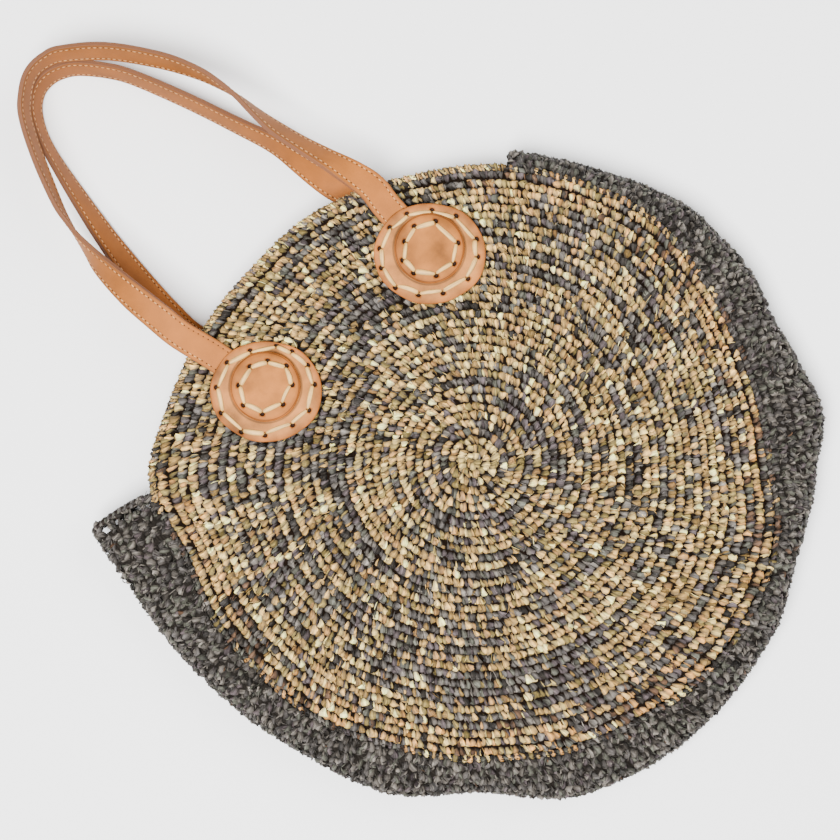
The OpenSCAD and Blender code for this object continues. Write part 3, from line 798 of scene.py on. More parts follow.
def panel_fabric(s, name, body, move, seed):
    """Closed core of a panel: an outer face under the stitches, painted dark as the shade between
    them, and an inner face with the rounds' ridges, at the height -T + 0.4 + 0.35 cos(2 pi r / row)."""
    rng = np.random.default_rng(seed)
    sides, flat, under = 256, 24, -1.5
    outer = np.concatenate([np.linspace(8, PANEL_R - 0.8, flat), [PANEL_R]])
    inner = np.arange(PANEL_R, 3, -s.row / 3)
    ridges = -FABRIC_T + 0.4 + 0.35 * np.cos(2 * np.pi * inner / s.row)
    height = np.concatenate([np.full(flat, under), [under - 0.4], ridges])
    a = 2 * np.pi * np.arange(sides) / sides
    x, y = polar(np.concatenate([outer, inner])[:, None], a)
    ring = np.stack([x, y, height[:, None] + 0 * a], -1)
    points, quads, tris = spindle(ring, (0, 0, under), (0, 0, -FABRIC_T))
    rows = np.round(inner / s.row).astype(int)
    natural = runs(sides * (rows.max() + 1), rng).reshape(-1, sides)[rows]
    # Painted shade: every point starts in the shade colour, which shows between the stitches; the inner face
    # then gets its straw
    tint = np.tile(list(s.shade), (len(points), 1))
    tint[1 + len(outer) * sides:-1] = marled(s, natural.ravel(), 0, rng) * 0.8
    shape = (move(points), quads, tris, points[:, :2] / 10, tint)
    return put(name, body, shape, "straw_mixed", straw_finish(name, 0.0))


def panel_stitches(s, side, body, move, seed):
    """The stitches of a panel: its inner, middle and outer rounds as three pieces. Round k, from
    0, has 2 pi (k + 1/2) row / pitch stitches, 4 at least, and starts anywhere. A chance share
    of the broad legs, narrow legs and fibres has the other straw than its stitch. Near the
    gusset the last rounds turn warm and brown, by a chance of up to 0.4."""
    rng = np.random.default_rng(seed)
    rounds = round(PANEL_R / s.row)
    n = np.maximum(4, np.round(2 * np.pi * (np.arange(rounds) + 0.5) * s.row / s.pitch)).astype(int)
    ring, index = counted(n)
    angle = 2 * np.pi * (index + rng.random(rounds)[ring]) / n[ring]
    natural = runs(len(ring), rng)
    place = flat_places((ring + 0.5) * s.row + 0.8 * (ring == rounds - 1), angle)
    turned = np.degrees(angle if side == "front" else np.pi - angle) - GUSSET_START
    by_gusset = np.mod(turned + 8, 360) < GUSSET_ANGLE + 16
    rim = np.where(by_gusset, smooth((ring - rounds + 5.5) / 4.5), 0) * 0.4
    other = rng.random((3, len(ring))) < [[0.10], [0.28], [0.2]]
    tints = [marled(s, natural ^ swapped, rim, rng) for swapped in other]
    third = np.digitize(ring, (INNER_ROUNDS, MIDDLE_ROUNDS))
    for number, part in enumerate(("inner", "middle", "outer")):
        some = third == number
        spot = [p[some] for p in place]
        broad, narrow, stray = (tint[some] for tint in tints)
        strands = Strands()
        legs_and_loop(strands, spot, s.row, s.pitch, broad, narrow * 0.92, rng, loops=side == "front")
        fibres(strands, spot, 0.25, s.row, s.pitch, stray * 1.25, rng)
        name = f"{side}_panel_{part}_rounds"
        put(name, body, strands.shape(move), "straw_mixed", straw_finish(name))


# Gusset, seams and edges


def gusset_at(a, b, deep=0.0):
    """Point of the folded gusset at angle a round the bag and b round its section, in radians:
    half an ellipse from the back panel's rim (b = -90 degrees) over the fold, at least 5 mm
    out, to the front panel's rim (b = 90 degrees), deep millimetres below its face. Its lower
    end is raised with the back panel. At the left end the angle lags by GUSSET_LAG cos b and
    runs ahead by RIM_LEAD (1 - cos b)^0.6, both fading over LAG_SHARE of the gusset."""
    rim = around(RIM_R, a) + 0.3
    low = lift_at(rim * np.sin(a)) + STRAW_PROUD + GUSSET_PROUD + deep
    high = FLAT_H - deep
    turned = np.degrees(a) - GUSSET_START
    fold = np.interp(turned, FOLD_STEP * np.arange(len(FOLD_R)), FOLD_R)
    r = rim + (np.maximum(fold - rim, 5.0) - 0.4 - deep) * np.cos(b)
    fade = np.clip(1 - turned / GUSSET_ANGLE / LAG_SHARE, 0, 1) ** 2
    lead = RIM_LEAD * np.maximum(1 - np.cos(b), 0) ** 0.6
    a = a + np.radians(fade * (GUSSET_LAG * np.cos(b) - lead))
    return np.stack([*polar(r, a), (low + high) / 2 + (high - low) / 2 * np.sin(b)], -1)


def section_middle(degrees):
    """Middle of the gusset's section at an angle round the bag."""
    return np.array([*polar(BAG_R, math.radians(degrees)), FLAT_H / 2])


def gusset_places(s, rng, top):
    """Middle and axes of each stitch on the upper or the lower half of the gusset. Rows are a
    fixed height apart along its section, counted from the rim, and stop at the fold. No stitch
    lies over the holes of the left end."""
    turn, way, rows = math.radians(GUSSET_ANGLE), 1 if top else -1, np.arange(11)
    n = np.round(turn * (BAG_R + 1 + 4.5 * rows) / s.gusset_pitch).astype(int)
    row, index = counted(n)
    share = (index + 0.5 + rng.normal(0, 0.12, len(index))) / n[row]
    a = math.radians(GUSSET_START) + np.clip(share, 0.001, 0.999) * turn
    wanted = (row + 0.34 + rng.normal(0, 0.10, len(row))) * s.gusset_row
    steps = np.linspace(1, 0, 41) * (math.pi / 2) * way
    line = gusset_at(a[:, None], steps[None])
    walked = np.cumsum(np.linalg.norm(np.diff(line, axis=1), axis=-1), 1)
    walked = np.concatenate([np.zeros((len(a), 1)), walked], 1)
    keep = wanted < walked[:, -1] + 0.35 * s.gusset_row
    a, wanted, walked = a[keep], wanted[keep], walked[keep]
    i = np.clip((walked < wanted[:, None]).sum(1) - 1, 0, len(steps) - 2)
    before, after = walked[np.arange(len(i)), i], walked[np.arange(len(i)), i + 1]
    b = steps[i] + (wanted - before) / np.maximum(after - before, 1e-6) * (steps[i + 1] - steps[i])
    turned = np.degrees(a) - GUSSET_START
    from_hole = np.abs(np.cos(b)[:, None] - END_HOLES).min(1) * (FOLD_R[0] - BAG_R)
    keep = (turned < HOLES_FROM) | (turned > HOLES_TO) | (from_hole > (2.6 if top else 5.0))
    a, b = a[keep], b[keep]
    middle = gusset_at(a, b)
    along = unit_rows(gusset_at(a + 0.004, b) - gusset_at(a - 0.004, b))
    down = unit_rows(gusset_at(a, b - 0.02 * way) - gusset_at(a, b + 0.02 * way))
    out = unit_rows(np.cross(along, down))
    centre = np.column_stack([*polar(BAG_R, a), np.full(len(a), FLAT_H / 2)])
    return middle, along, down, out * np.sign(np.einsum("ij,ij->i", out, middle - centre))[:, None]


def gusset_stitches(s, top, seed):
    """Chunky gusset stitches: a strand across the row, darkened as painted shade, two broad legs
    that cross over it, two thin strands turned by chance and some stray fibres, so that the
    strip looks as lumpy as thick crochet."""
    rng = np.random.default_rng(seed)
    place = gusset_places(s, rng, top)
    n, h, p = len(place[0]), s.gusset_row, s.gusset_pitch
    even, bell = draws(rng, n)
    strands = Strands()
    lean = bell(0.16)

    def near(x, y):
        return np.column_stack([(x + lean * y * 2 + bell(0.14)) * p, (y + bell(0.12)) * h])

    # The strand across the row lies under the legs: its greys times 0.62 are painted shade
    strands.add(
        place, near(-0.52, -0.12), near(0.52, 0.06), half=even(0.30, 0.42) * h,
        thick=even(0.6, 0.9), arch=even(0.3, 0.6), depth=-2.0, bend=bell(0.5),
        tint=greys(s, n, rng) * 0.62, rng=rng,
    )
    # Of each leg: start and end, and the ranges of its half width, thickness and arch
    for start, end, half, thick, arch in (
        ((-0.14, -0.60), (0.24, 0.54), (0.34, 0.50), (1.2, 2.1), (0.9, 2.0)),
        ((0.14, -0.54), (-0.36, 0.50), (0.28, 0.42), (1.1, 1.9), (0.9, 1.9)),
    ):
        strands.add(
            place, near(*start), near(*end), half=even(*half) * p, thick=even(*thick),
            arch=even(*arch), depth=-1.9, bend=bell(0.6), tint=greys(s, n, rng), rng=rng,
            taper=0.3, crest=0.6, blunt=0.5,
        )
    for _ in range(2):
        turn = bell(0.8, 0.5)
        way = np.column_stack([np.sin(turn) * p, np.cos(turn) * h]) * 0.46
        off = np.column_stack([even(-0.5, 0.5) * p, even(-0.5, 0.5) * h])
        strands.add(
            place, off - way, off + way, half=even(0.07, 0.17) * p, thick=even(0.7, 1.1),
            arch=even(1.2, 2.4), depth=-1.5, bend=bell(0.8), tint=greys(s, n, rng), rng=rng,
            taper=0.2, crest=0.5, blunt=0.6,
        )
    fibres(strands, place, 0.3, h, p, greys(s, n, rng) * 1.2, rng, depth=-0.2)
    name = "gusset_upper_stitches" if top else "gusset_lower_stitches"
    put(name, GUSSET_BODIES, strands.shape(), "straw_charcoal", straw_finish(name))


def gusset_fabric(s):
    """Core of the gusset under its stitches: an outer curve and an inner one, 2.6 mm apart, swept
    round the bag and stopped short of both ends; beyond the left one lies the open row. Outside
    it is painted dark, as the shade between the stitches, and inside it has the gusset's own straw."""
    m, n = 14, 220
    a = np.radians(GUSSET_START + np.linspace(2.1, GUSSET_ANGLE - 0.8, n))[:, None]
    b = np.linspace(-math.pi / 2, math.pi / 2, m)[None]
    points = np.concatenate([gusset_at(a, b, 1.2), gusset_at(a, b[:, ::-1], 3.8)], 1).reshape(-1, 3)
    k = 2 * m
    base, j, e = k * np.arange(n - 1)[:, None], np.arange(k), np.arange(m - 1)
    after = (j + 1) % k
    quads = np.stack([base + j, base + after, base + k + after, base + k + j], -1).reshape(-1, 4)
    cap = np.stack([e, k - 1 - e, k - 2 - e, e + 1], -1)
    quads = np.concatenate([quads, cap, cap[:, ::-1] + k * (n - 1)])
    # Painted shade outside: the darkest charcoal times 0.4
    tint = np.tile(np.array(list(s.charcoal_dark)) * 0.4, (len(points), 1))
    tint.reshape(n, k, 3)[:, m:] = greys(s, n * m, np.random.default_rng(5)).reshape(n, m, 3) * 0.7
    shape = (points, quads, np.empty((0, 3), int), points[:, :2] / 10, tint)
    return put("gusset_fabric", GUSSET_BODIES, shape, "straw_charcoal", straw_finish("gusset_fabric", 0.0))


def rope(s, name, body, line, towards, radius, pitch, tints, rng, slant, lines,
         slot="straw_charcoal", loose=0.15, reach=0.62, outside=1, wide=0.30):
    """A worked edge: a round core along a line, painted dark as the shade between its ribbons,
    wound on its outer side, which looks towards the given directions, with slanted ribbons.
    There is one set of them for each of lines, given in degrees from outwards, and tints tells
    their colours, from their number and from whether they lie on the side that outside gives
    the sign of."""
    walked = length_walked(line)
    along = unit_rows(np.gradient(line, axis=0))
    out = square_rows(towards, along)
    side = np.cross(out, along)
    b = 2 * np.pi * np.arange(10)[None, :, None] / 10
    ring = line[:, None] + ROPE_CORE_SHARE * radius * (np.cos(b) * side[:, None] + np.sin(b) * out[:, None])
    points, quads, tris = spindle(ring, line[0] - along[0] * 0.2, line[-1] + along[-1] * 0.2)
    # The core gets the painted shade colour, times 1.4
    dark = np.tile(list(s.shade), (len(points), 1)) * 1.4
    core = (points, *outwards(points, quads, tris), points[:, :2] / 10, dark)
    strands = Strands()
    n = int(walked[-1] / pitch)
    even, bell = draws(rng, n)
    for number, degrees in enumerate(lines):
        at = (np.arange(n) + 0.5 + bell(0.08) + 0.33 * number) * walked[-1] / n
        at = np.clip(at, 0.4 * pitch, walked[-1] - 0.4 * pitch)
        middle, t, x, w = read_off(at, walked, line, along, side, out)
        turn = math.radians(degrees)
        up = w * math.cos(turn) + x * math.sin(turn)
        lean = slant + bell(loose)
        half_way = np.column_stack([np.cos(lean), np.sin(lean)]) * (reach * pitch)
        strands.add(
            (middle + up * radius * 0.62, t, np.cross(up, t), up), -half_way, half_way,
            half=even(0.8, 1.2) * wide * pitch, thick=0.32 * radius, arch=0.3 * radius,
            depth=-0.2 * radius, bend=bell(0.3), tint=tints(s, n, rng, degrees * outside > 0),
            rng=rng, taper=0.3, crest=0.6,
        )
    wound = strands.shape()
    wound = (wound[0], *(faces + len(points) for faces in outwards(*wound[:3])), *wound[3:])
    shape = [np.concatenate(pair) for pair in zip(core, wound, strict=True)]
    return put(name, body, shape, slot, straw_finish(name))


def seam_tints(s, n, rng, by_gusset):
    """Straw of a seam: charcoal on the gusset's side and mixed on the panel's."""
    return greys(s, n, rng, 10.0) if by_gusset else marled(s, runs(n, rng), 0.3, rng) * 0.8


def mouth_tints(s, n, rng, _):
    """Straw of a mouth edge: mostly natural."""
    return marled(s, runs(n, rng) | (rng.random(n) < 0.5), 0, rng)


def border_tints(s, n, rng, _):
    """Straw of the gusset's ends: charcoal."""
    return greys(s, n, rng, 0.0)


def rim_line(side, a, aside):
    """Points along a panel's rim at angles a, and the directions outwards there: over the
    panel's face, and away from the bag's middle by aside."""
    x, y = polar(around(RIM_R, a) - ROPE_INSET, a)
    if side == "front":
        z, up = np.full_like(y, FLAT_H - SEAM_D / 2), 1.0
    else:
        z, up = lift_at(y) + SEAM_D / 2 + STRAW_PROUD, -1.0
    towards = unit_rows(np.column_stack([*polar(aside, a), np.full(len(a), up)]))
    return np.column_stack([x, y, z]), towards


def seam_and_mouth(s, side, sign, seed):
    """The seam of a panel's rim round the gusset and the finished edge of its mouth."""
    rng, body, slant = np.random.default_rng(seed), f"bag_{side}", -1.13 * sign
    a = np.radians(GUSSET_START + np.linspace(0.1, GUSSET_ANGLE - 0.1, 420))
    lines = (-70 * sign, -25 * sign, 25 * sign)
    seam = rope(
        s, f"{side}_seam_stitches", body, *rim_line(side, a, 0.25), 2.3, s.pitch, seam_tints, rng,
        slant, lines, loose=0.3, reach=0.7, outside=-sign, wide=0.34,
    )
    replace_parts(seam, f"{side}_seam")
    a = np.radians(MOUTH_MIDDLE + np.linspace(-0.5, 0.5, 200) * MOUTH_ANGLE)
    edge = rope(
        s, f"{side}_mouth_chain", body, *rim_line(side, a, 0.6), 2.4, s.pitch * 0.8, mouth_tints,
        rng, slant, (-75, -30, 15, 60), "straw_mixed", loose=0.25, reach=0.9,
    )
    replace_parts(edge, f"{side}_mouth_edge")


def gusset_end(s, side, start, way, radius, pitch, seed):
    """Finished edge across an end of the gusset, start degrees round the bag; way is the
    direction from the end into the gusset."""
    b = np.linspace(-math.pi / 2 + 0.12, math.pi / 2 - 0.12, 90)
    line = gusset_at(np.full_like(b, math.radians(start) + way * 0.004), b, 1.6)
    border = rope(
        s, f"gusset_{side}_border", GUSSET_BODIES, line, unit_rows(line - section_middle(start)),
        radius, pitch, border_tints, np.random.default_rng(seed), 0.7, (-120, -60, 0, 60, 120),
    )
    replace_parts(border, f"gusset_{side}_edge")


def gusset_posts(s, seed):
    """Thin posts between the fabric of the gusset and its finished left edge, which stand apart
    and leave see-through gaps: pairs of ribbons between every two holes, above and below."""
    rng = np.random.default_rng(seed)
    between = (END_HOLES[1:] + END_HOLES[:-1]) / 2
    b = np.arccos(np.tile(between, 2)) * np.repeat([-1, 1], len(between))
    even, bell = draws(rng, len(b))
    first = gusset_at(np.full_like(b, math.radians(GUSSET_START + 0.4)), b, 1.8)
    last = gusset_at(np.full_like(b, math.radians(GUSSET_START + 3.0)), b + bell(0.05), 1.8)
    along = unit_rows(last - first)
    side = unit_rows(np.cross(unit_rows(first - section_middle(GUSSET_START)), along))
    half_way = np.linalg.norm(last - first, axis=1)[:, None] / 2 * (1.0, 0.0)
    strands = Strands()
    for off in (-0.9, 0.9):
        strands.add(
            ((first + last) / 2 + off * side, along, side, np.cross(along, side)),
            -half_way - (0, 0.5 * off), half_way + (0, 0.5 * off), half=even(1.2, 2.0), thick=0.9,
            arch=0.2, depth=-0.1, bend=0.0, tint=greys(s, len(b), rng, 0.0), rng=rng,
        )
    name = "gusset_left_posts"
    put(name, GUSSET_BODIES, strands.shape(), "straw_charcoal", straw_finish(name))


# Medallions


def medallion_place(name):
    """Middle in the bag's plane, turn in radians and the change from a medallion's own heights
    to the bag's."""
    face, side = name.split("_")
    sign = 1 if side == "right" else -1
    middle = np.array([sign * MEDALLION_X, MEDALLION_Y - sign * MEDALLION_SKEW])
    height = (lambda z: FLAT_H + z) if face == "front" else (lambda z: BACK_LIFT - z)
    return middle, math.radians(TURNS[name]), height


def holes_of(name, table):
    """Punched holes of a medallion. Those of a back one are the front ones' of the other side,
    in a mirror."""
    face, side = name.split("_")
    if face == "front":
        return table[side]
    return sorted(((180 - a) % 360, r) for a, r in table["left" if side == "right" else "right"])


def droop(x, y, turn):
    """How far a disc sags beside the strap that it lies on: SAG, smoothly reached in the
    distance from the strap's middle line and in the distance from the disc's middle."""
    aside = np.abs(x * math.cos(turn) + y * math.sin(turn)) - SAG_ASIDE
    away = np.hypot(x, y) - SAG_AWAY
    return -SAG * smooth(aside / SAG_ASIDE_WIDE) * smooth(away / SAG_AWAY_WIDE)


def base_outline(a):
    """Radius of a hand-cut base disc at an angle: a circle drawn out by 5 per cent one way."""
    drawn = CUT_R * (1 + CUT_SHARE * np.cos(2 * (a + CUT_TURN)))
    return drawn + 0.25 * np.sin(5 * a + 1) + 0.15 * np.sin(9 * a)


def cap_outline(a):
    """Radius of a hand-cut cap disc at an angle."""
    return CAP_R - 0.5 + 0.15 * np.sin(3 * a + 0.5) + 0.12 * np.sin(7 * a)


def punched_disc(holes, off, outline, level, puff, turn):
    """Points, faces, UV and tint of a leather disc with punched holes, its underside at level
    and its middle raised by puff.

    The grid is polar. Its lines gather in a small square round each hole, and those squares are
    drawn onto circles: a point at (p, q) from the hole, with m = max(|p|, |q|), goes to distance
    f(m) in its own direction, and down the hole inside the edge."""
    far, lines, fills, reach = 99, len(HOLE_LINES), 4, HOLE_LINES[-1]
    # Rings of the grid: shares of the way to the holes, insets over the edge, shares underneath
    inside = np.array([0.14, 0.3, 0.46, 0.6, 0.72, 0.83, 0.92])
    over, below = np.array([0.9, 0.35, 0.0, 0.0, 0.5]), np.array([0.8, 0.5, 0.2])
    edge_row = len(inside) + lines
    angle, where = np.array(holes, float).T
    spot = np.column_stack(polar(where, np.radians(angle))) - off
    angle, where = np.arctan2(spot[:, 1], spot[:, 0]), np.hypot(spot[:, 0], spot[:, 1])
    order = np.argsort(angle)
    angle, where = angle[order], where[order]
    following = np.roll(angle, -1) + 2 * np.pi * (np.arange(len(angle)) == len(angle) - 1)
    half = reach / where
    gap0, gap1 = angle + half, following - np.roll(half, -1)
    fill = gap0[:, None] + (gap1 - gap0)[:, None] * np.arange(1, fills + 1) / (fills + 1)
    a = np.concatenate([angle[:, None] + HOLE_LINES / where[:, None], fill], 1).ravel()
    offset = np.concatenate([np.tile(HOLE_LINES, (len(angle), 1)), np.full_like(fill, far)], 1).ravel()
    ring = np.interp(a, np.concatenate([angle - 2 * np.pi, angle, angle + 2 * np.pi]), np.tile(where, 3))
    ring = np.where(offset < far, np.repeat(where, lines + fills), ring)
    rim = outline(a)
    rows = np.concatenate([
        (ring - reach) * inside[:, None],
        np.minimum(ring + HOLE_LINES[:, None], rim - np.linspace(1.9, 1.0, lines)[:, None]),
        rim - over[:, None],
        (rim - over[-1]) * below[:, None],
    ])
    falls = [-0.25, -0.8, -1.5, -DISC_T]
    top = np.concatenate([np.zeros(edge_row + 1), falls, np.full(len(below), -DISC_T)])[:, None]
    radial = np.full((len(rows), 1), float(far))
    radial[len(inside):edge_row, 0] = HOLE_LINES
    m = np.maximum(np.abs(radial), np.abs(offset)[None])
    down_hole, held, dented = m < 1.2, m < 1.8, m < 2.6
    goal = np.interp(m, *HOLE_DRAWN)
    stretch = np.where(held & (m > 0), goal / np.maximum(np.hypot(radial, offset[None]), 1e-6), 1)
    r = np.where(held, ring + radial * stretch, rows)
    at_hole = np.repeat(angle, lines + fills)[None] + offset[None] * stretch / ring
    x, y = polar(r, np.where(held, at_hole, a[None]))
    x, y = x + off[0], y + off[1]
    share = np.clip(r / rim, 0, 1)
    swell = puff * (1 - share**2) - 0.35 * puff * smooth((share - 0.8) / 0.2)
    z = DISC_T + top + np.where(top > -1.0, swell, 0)
    z = z - np.where(down_hole, 1.8, 0) - np.where(dented & ~down_hole, 0.16, 0)
    z = level + z + droop(x, y, turn)
    first, final = (*off, level + DISC_T + puff), (*off, level)
    points, quads, tris = spindle(np.stack([x, y, z], -1), first, final)
    tint = 1 - smooth((share - 0.84) / 0.16)[..., None] * (0.22, 0.34, 0.45)
    # Painted shade down each hole: its points are tinted nearly black
    tint[down_hole] = (0.05, 0.035, 0.03)
    tint[held & ~down_hole] = (0.66, 0.56, 0.5)
    tint[edge_row + 3:edge_row + 5] = (0.50, 0.40, 0.33)
    return points, quads, tris, points[:, :2] / 10, with_poles(tint.reshape(-1, 3))


def medallion(s, name, seed):
    """Base disc, cap disc and both laces of one medallion. A lace has a bar between every two
    neighbouring holes on the discs, and the same inside the bag."""
    rng = np.random.default_rng(seed)
    middle, turn, height = medallion_place(name)
    body = "bag_" + name.split("_")[0]
    outer, inner = holes_of(name, OUTER_HOLES), holes_of(name, INNER_HOLES)

    def placed(p):
        return np.column_stack([p[:, :2] + middle, height(p[:, 2])])

    # Of each disc a dark ring: on the base disc, painted shadow of the cap round it; on the cap, its pressed
    # line
    for part, slot, disc, shade, mottle, shadow_and_crease in (
        ("base", "leather_disc", (outer, np.zeros(2), base_outline, BASE_LEVEL, 0.0), s.disc, 0.85,
         (CAP_R + 0.2, 1.1)),
        ("cap", "leather_cap", (inner, CAP_OFF, cap_outline, CAP_LEVEL - 0.05, 0.5), s.cap, 0.7,
         (CAP_R - 1.5, 0.5)),
    ):
        points, *rest = punched_disc(*disc, turn)
        creases = [(*(middle + CAP_OFF), *shadow_and_crease)]
        finish = leather_finish(f"{name}_{part}", shade, mottle, creases=creases)
        obj = put(f"{name}_medallion_{part}", body, (placed(points), *rest), slot, finish)
        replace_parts(obj, f"{name}_{part}_disc")
    for ring, holes, level in (("outer", outer, CAP_LEVEL), ("inner", inner, CAP_LEVEL + DISC_T + 0.2)):
        angle, where = np.array(holes, float).T
        x, y = polar(where - 1.1, np.radians(angle))
        n = len(x)
        even, bell = draws(rng, n)
        strands = Strands(5, 8)
        for sign, z in ((1, level + droop(x, y, turn)), (-1, np.full(n, INSIDE_LEVEL))):
            first = np.column_stack([x, y, z])
            last = np.roll(first, -1, 0)
            along = unit_rows(last - first)
            up = square_rows(np.tile((0.0, 0.0, float(sign)), (n, 1)), along)
            half_way = np.column_stack([np.linalg.norm(last - first, axis=1) / 2 + 0.35, bell(0.25)])
            tint = np.ones((n, 3)) * even(0.88, 1.04)[:, None]
            strands.add(
                ((first + last) / 2, along, np.cross(up, along), up), -half_way, half_way,
                half=even(1.35, 1.95), thick=0.6, arch=1.2, depth=-0.75, bend=bell(0.35),
                tint=tint, rng=rng, taper=even(-0.5, 0.5)[:, None], blunt=0.25,
            )
        finish = lace_finish(f"{name}_{ring}_lace", s.lace)
        obj = put(f"{name}_medallion_{ring}_lace", body, strands.shape(placed), "lace_cream", finish)
        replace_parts(obj, f"{name}_{ring}_lace")


# Handles


def smooth_rows(table, x):
    """Smooth curve through the rows of a table, read at row numbers x: a cubic from each row to
    the next, whose slope at a row is half the step from the row before to the row after."""
    i = np.minimum(np.floor(x).astype(int), len(table) - 2)
    f = (x - i)[:, None]
    a, b, c, d = (table[np.clip(i + k, 0, len(table) - 1)] for k in (-1, 0, 1, 2))
    return (2 * b + (c - a) * f + (2 * a - 5 * b + 4 * c - d) * f**2 + (3 * b - a - 3 * c + d) * f**3) / 2


def root_of(name, back=0.0):
    """Where a strap leaves the stub under its medallion, or a place back from there."""
    middle, turn, _ = medallion_place(name)
    return middle + (STUB_REACH - back) * np.array([-math.sin(turn), math.cos(turn)])


def handle_path(face, steps=6):
    """Middle line of a handle from under the right medallion round to under the left one, the
    directions across and through the strap, and the length walked."""
    route, z_root = (FRONT_ROUTE, FRONT_STRAP_Z) if face == "front" else (BACK_ROUTE, BACK_STRAP_Z)
    route = np.array(route, float)

    def under(side, back=0.0):
        return (*root_of(f"{face}_{side}", back), z_root, 0)

    def resting(roll):
        """Height of the middle of a strap that lies on the floor."""
        half = STRAP_T / 2 + STITCH_PROUD
        return FLOOR_GAP + STRAP_W / 2 * np.abs(np.sin(roll)) + half * np.abs(np.cos(roll))

    first_half = np.arange(len(route)) * 2 < len(route) - 1
    root_y = np.where(first_half, under("right")[1], under("left")[1])
    roll = np.radians(route[:, 3])
    y = BAG_R + route[:, 1] * np.where(route[:, 1] < 0, BAG_R - root_y, REACH)
    z = resting(roll) + route[:, 2] * (z_root - resting(0))
    body = np.column_stack([route[:, 0] * MEDALLION_GAP, y, z, roll])
    held = STUB_REACH - BASE_R + STRAP_W
    table = np.vstack([under("right", held), under("right"), body, under("left"), under("left", held)])
    curve = smooth_rows(table, np.arange(steps, (len(table) - 2) * steps + 1) / steps)
    stub = np.linspace(STUB_REACH + STUB_INSIDE - 3, 4, 16)
    head = [under("right", back) for back in stub]
    tail = [under("left", back) for back in stub[::-1]]
    curve = np.vstack([head, curve, tail])
    line, roll = curve[:, :3], curve[:, 3]
    t = unit_rows(np.gradient(line, axis=0))
    out = unit_rows(np.column_stack([t[:, 1], -t[:, 0], 0 * t[:, 0]]))
    up = np.cross(out, t)
    c, n = np.cos(roll)[:, None], np.sin(roll)[:, None]
    return line, c * out - n * up, n * out + c * up, length_walked(line)


def strap(s, face):
    """A handle with its fixed ends as one strap: two plies with rounded edges, a groove along
    each row of stitches and the cut edges' own finish. It is darker by 30 per cent beyond its
    first and last 95 to 165 mm."""
    line, across, through, walked = handle_path(face)
    quarter = np.array(STRAP_FACE)
    top = np.vstack([quarter, quarter[-2::-1] * (-1, 1)])
    x, z = np.vstack([top, top[::-1] * (1, -1)]).T
    wave = 0.12 * np.sin(walked / 9.0) + 0.08 * np.sin(walked / 4.3 + 1)
    wide = x * (1 + wave / STRAP_W)[:, None]
    ring = line[:, None] + wide[..., None] * across[:, None] + z[None, :, None] * through[:, None]
    points, quads, tris = spindle(ring, line[0], line[-1])
    off = np.abs(x)
    cut = np.concatenate([off > CUT_FROM, [False]])
    column = np.arange((len(line) - 1) * len(x)) % len(x)
    edge = cut[column] & cut[(column + 1) % len(x)]
    picks = np.concatenate([edge.astype(int), np.ones(len(tris), int)])
    uv = np.stack(np.broadcast_arrays(x, walked[:, None]), -1).reshape(-1, 2) / 10
    shade = np.where(off > SHADED_FROM, 0.72, 1.0)
    shade = np.where(np.abs(off - STITCH_ROW) < 0.1, 0.86, shade)
    from_end = np.minimum(walked, walked[-1] - walked)
    held = 1 - 0.3 * smooth((from_end - 95) / 70)
    tint = (shade[None, :, None] * held[:, None, None] * np.ones(3)).reshape(-1, 3)
    shape = (points, quads, tris, with_poles(uv), with_poles(tint))
    shade_of = s.strap if face == "front" else s.strap_back
    flat = leather_finish(f"{face}_strap", shade_of, 0.22, holes=True)
    cut_edge = cut_finish(f"{face}_strap_edge", s.cut)
    name = f"{face}_handle_strap"
    obj = put(name, HANDLE_BODIES[face], shape, "leather_strap", flat, cut_edge, picks=picks)
    plies = f"{face}_handle_outer_ply", f"{face}_handle_lining_ply"
    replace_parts(obj, *plies, f"{face}_left_strap_end", f"{face}_right_strap_end")


def strap_stitches(s, face, seed):
    """Threads of the four rows of stitches, each a short bead between two needle holes. Some are
    worn away on the front strap's outer face."""
    rng = np.random.default_rng(seed)
    line, across, through, walked = handle_path(face)
    along = unit_rows(np.gradient(line, axis=0))
    under = STUB_REACH + STUB_INSIDE - 8
    sewn = np.arange(int(under / THREAD_PITCH), int((walked[-1] - under) / THREAD_PITCH)) * THREAD_PITCH
    strands = Strands(3, 6)
    for row in (-1, 1):
        for side in (-1, 1):
            at = sewn
            if face == "front" and side > 0:
                worn, share = WORN_ROWS[row]
                bare = walked[-1] - at < STUB_INSIDE + BASE_R + worn
                at = at[~(bare & (rng.random(len(at)) < share))]
            even, bell = draws(rng, len(at))
            middle, t, x, w = read_off(at, walked, line, along, across, through)
            t, up = unit_rows(t), unit_rows(w) * side
            half_way = np.column_stack([np.full(len(at), THREAD_LENGTH / 2), bell(0.08)])
            tint = np.ones((len(at), 3)) * even(0.82, 1.06)[:, None]
            strands.add(
                (middle + x * STITCH_ROW * row, t, np.cross(up, t), up), -half_way, half_way,
                half=even(0.36, 0.46), thick=0.34, arch=0.25, depth=1.34, bend=0.0, tint=tint, rng=rng,
            )
    name = f"{face}_handle_threads"
    obj = put(name, HANDLE_BODIES[face], strands.shape(), "thread", lace_finish(name, s.thread))
    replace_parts(obj, f"{face}_handle_stitching")


# Operators


class BuildOperator:
    """What the bag's operators share."""

    bl_options = {"REGISTER", "UNDO"}

    def execute(self, context):
        self.build(context.scene.bag_straw, context.scene.bag_leather)
        return {"FINISHED"}


class BAG_OT_panels(BuildOperator, bpy.types.Operator):
    """Crochet the front and the back panel"""

    bl_idname, bl_label = "bag.panels", "Panels"

    def build(self, straw, leather):
        for side, move, seed in (("front", to_front, 11), ("back", to_back, 21)):
            core = panel_fabric(straw, f"{side}_panel_fabric", f"bag_{side}", move, seed)
            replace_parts(core, f"{side}_panel")
            panel_stitches(straw, side, f"bag_{side}", move, seed + 1)


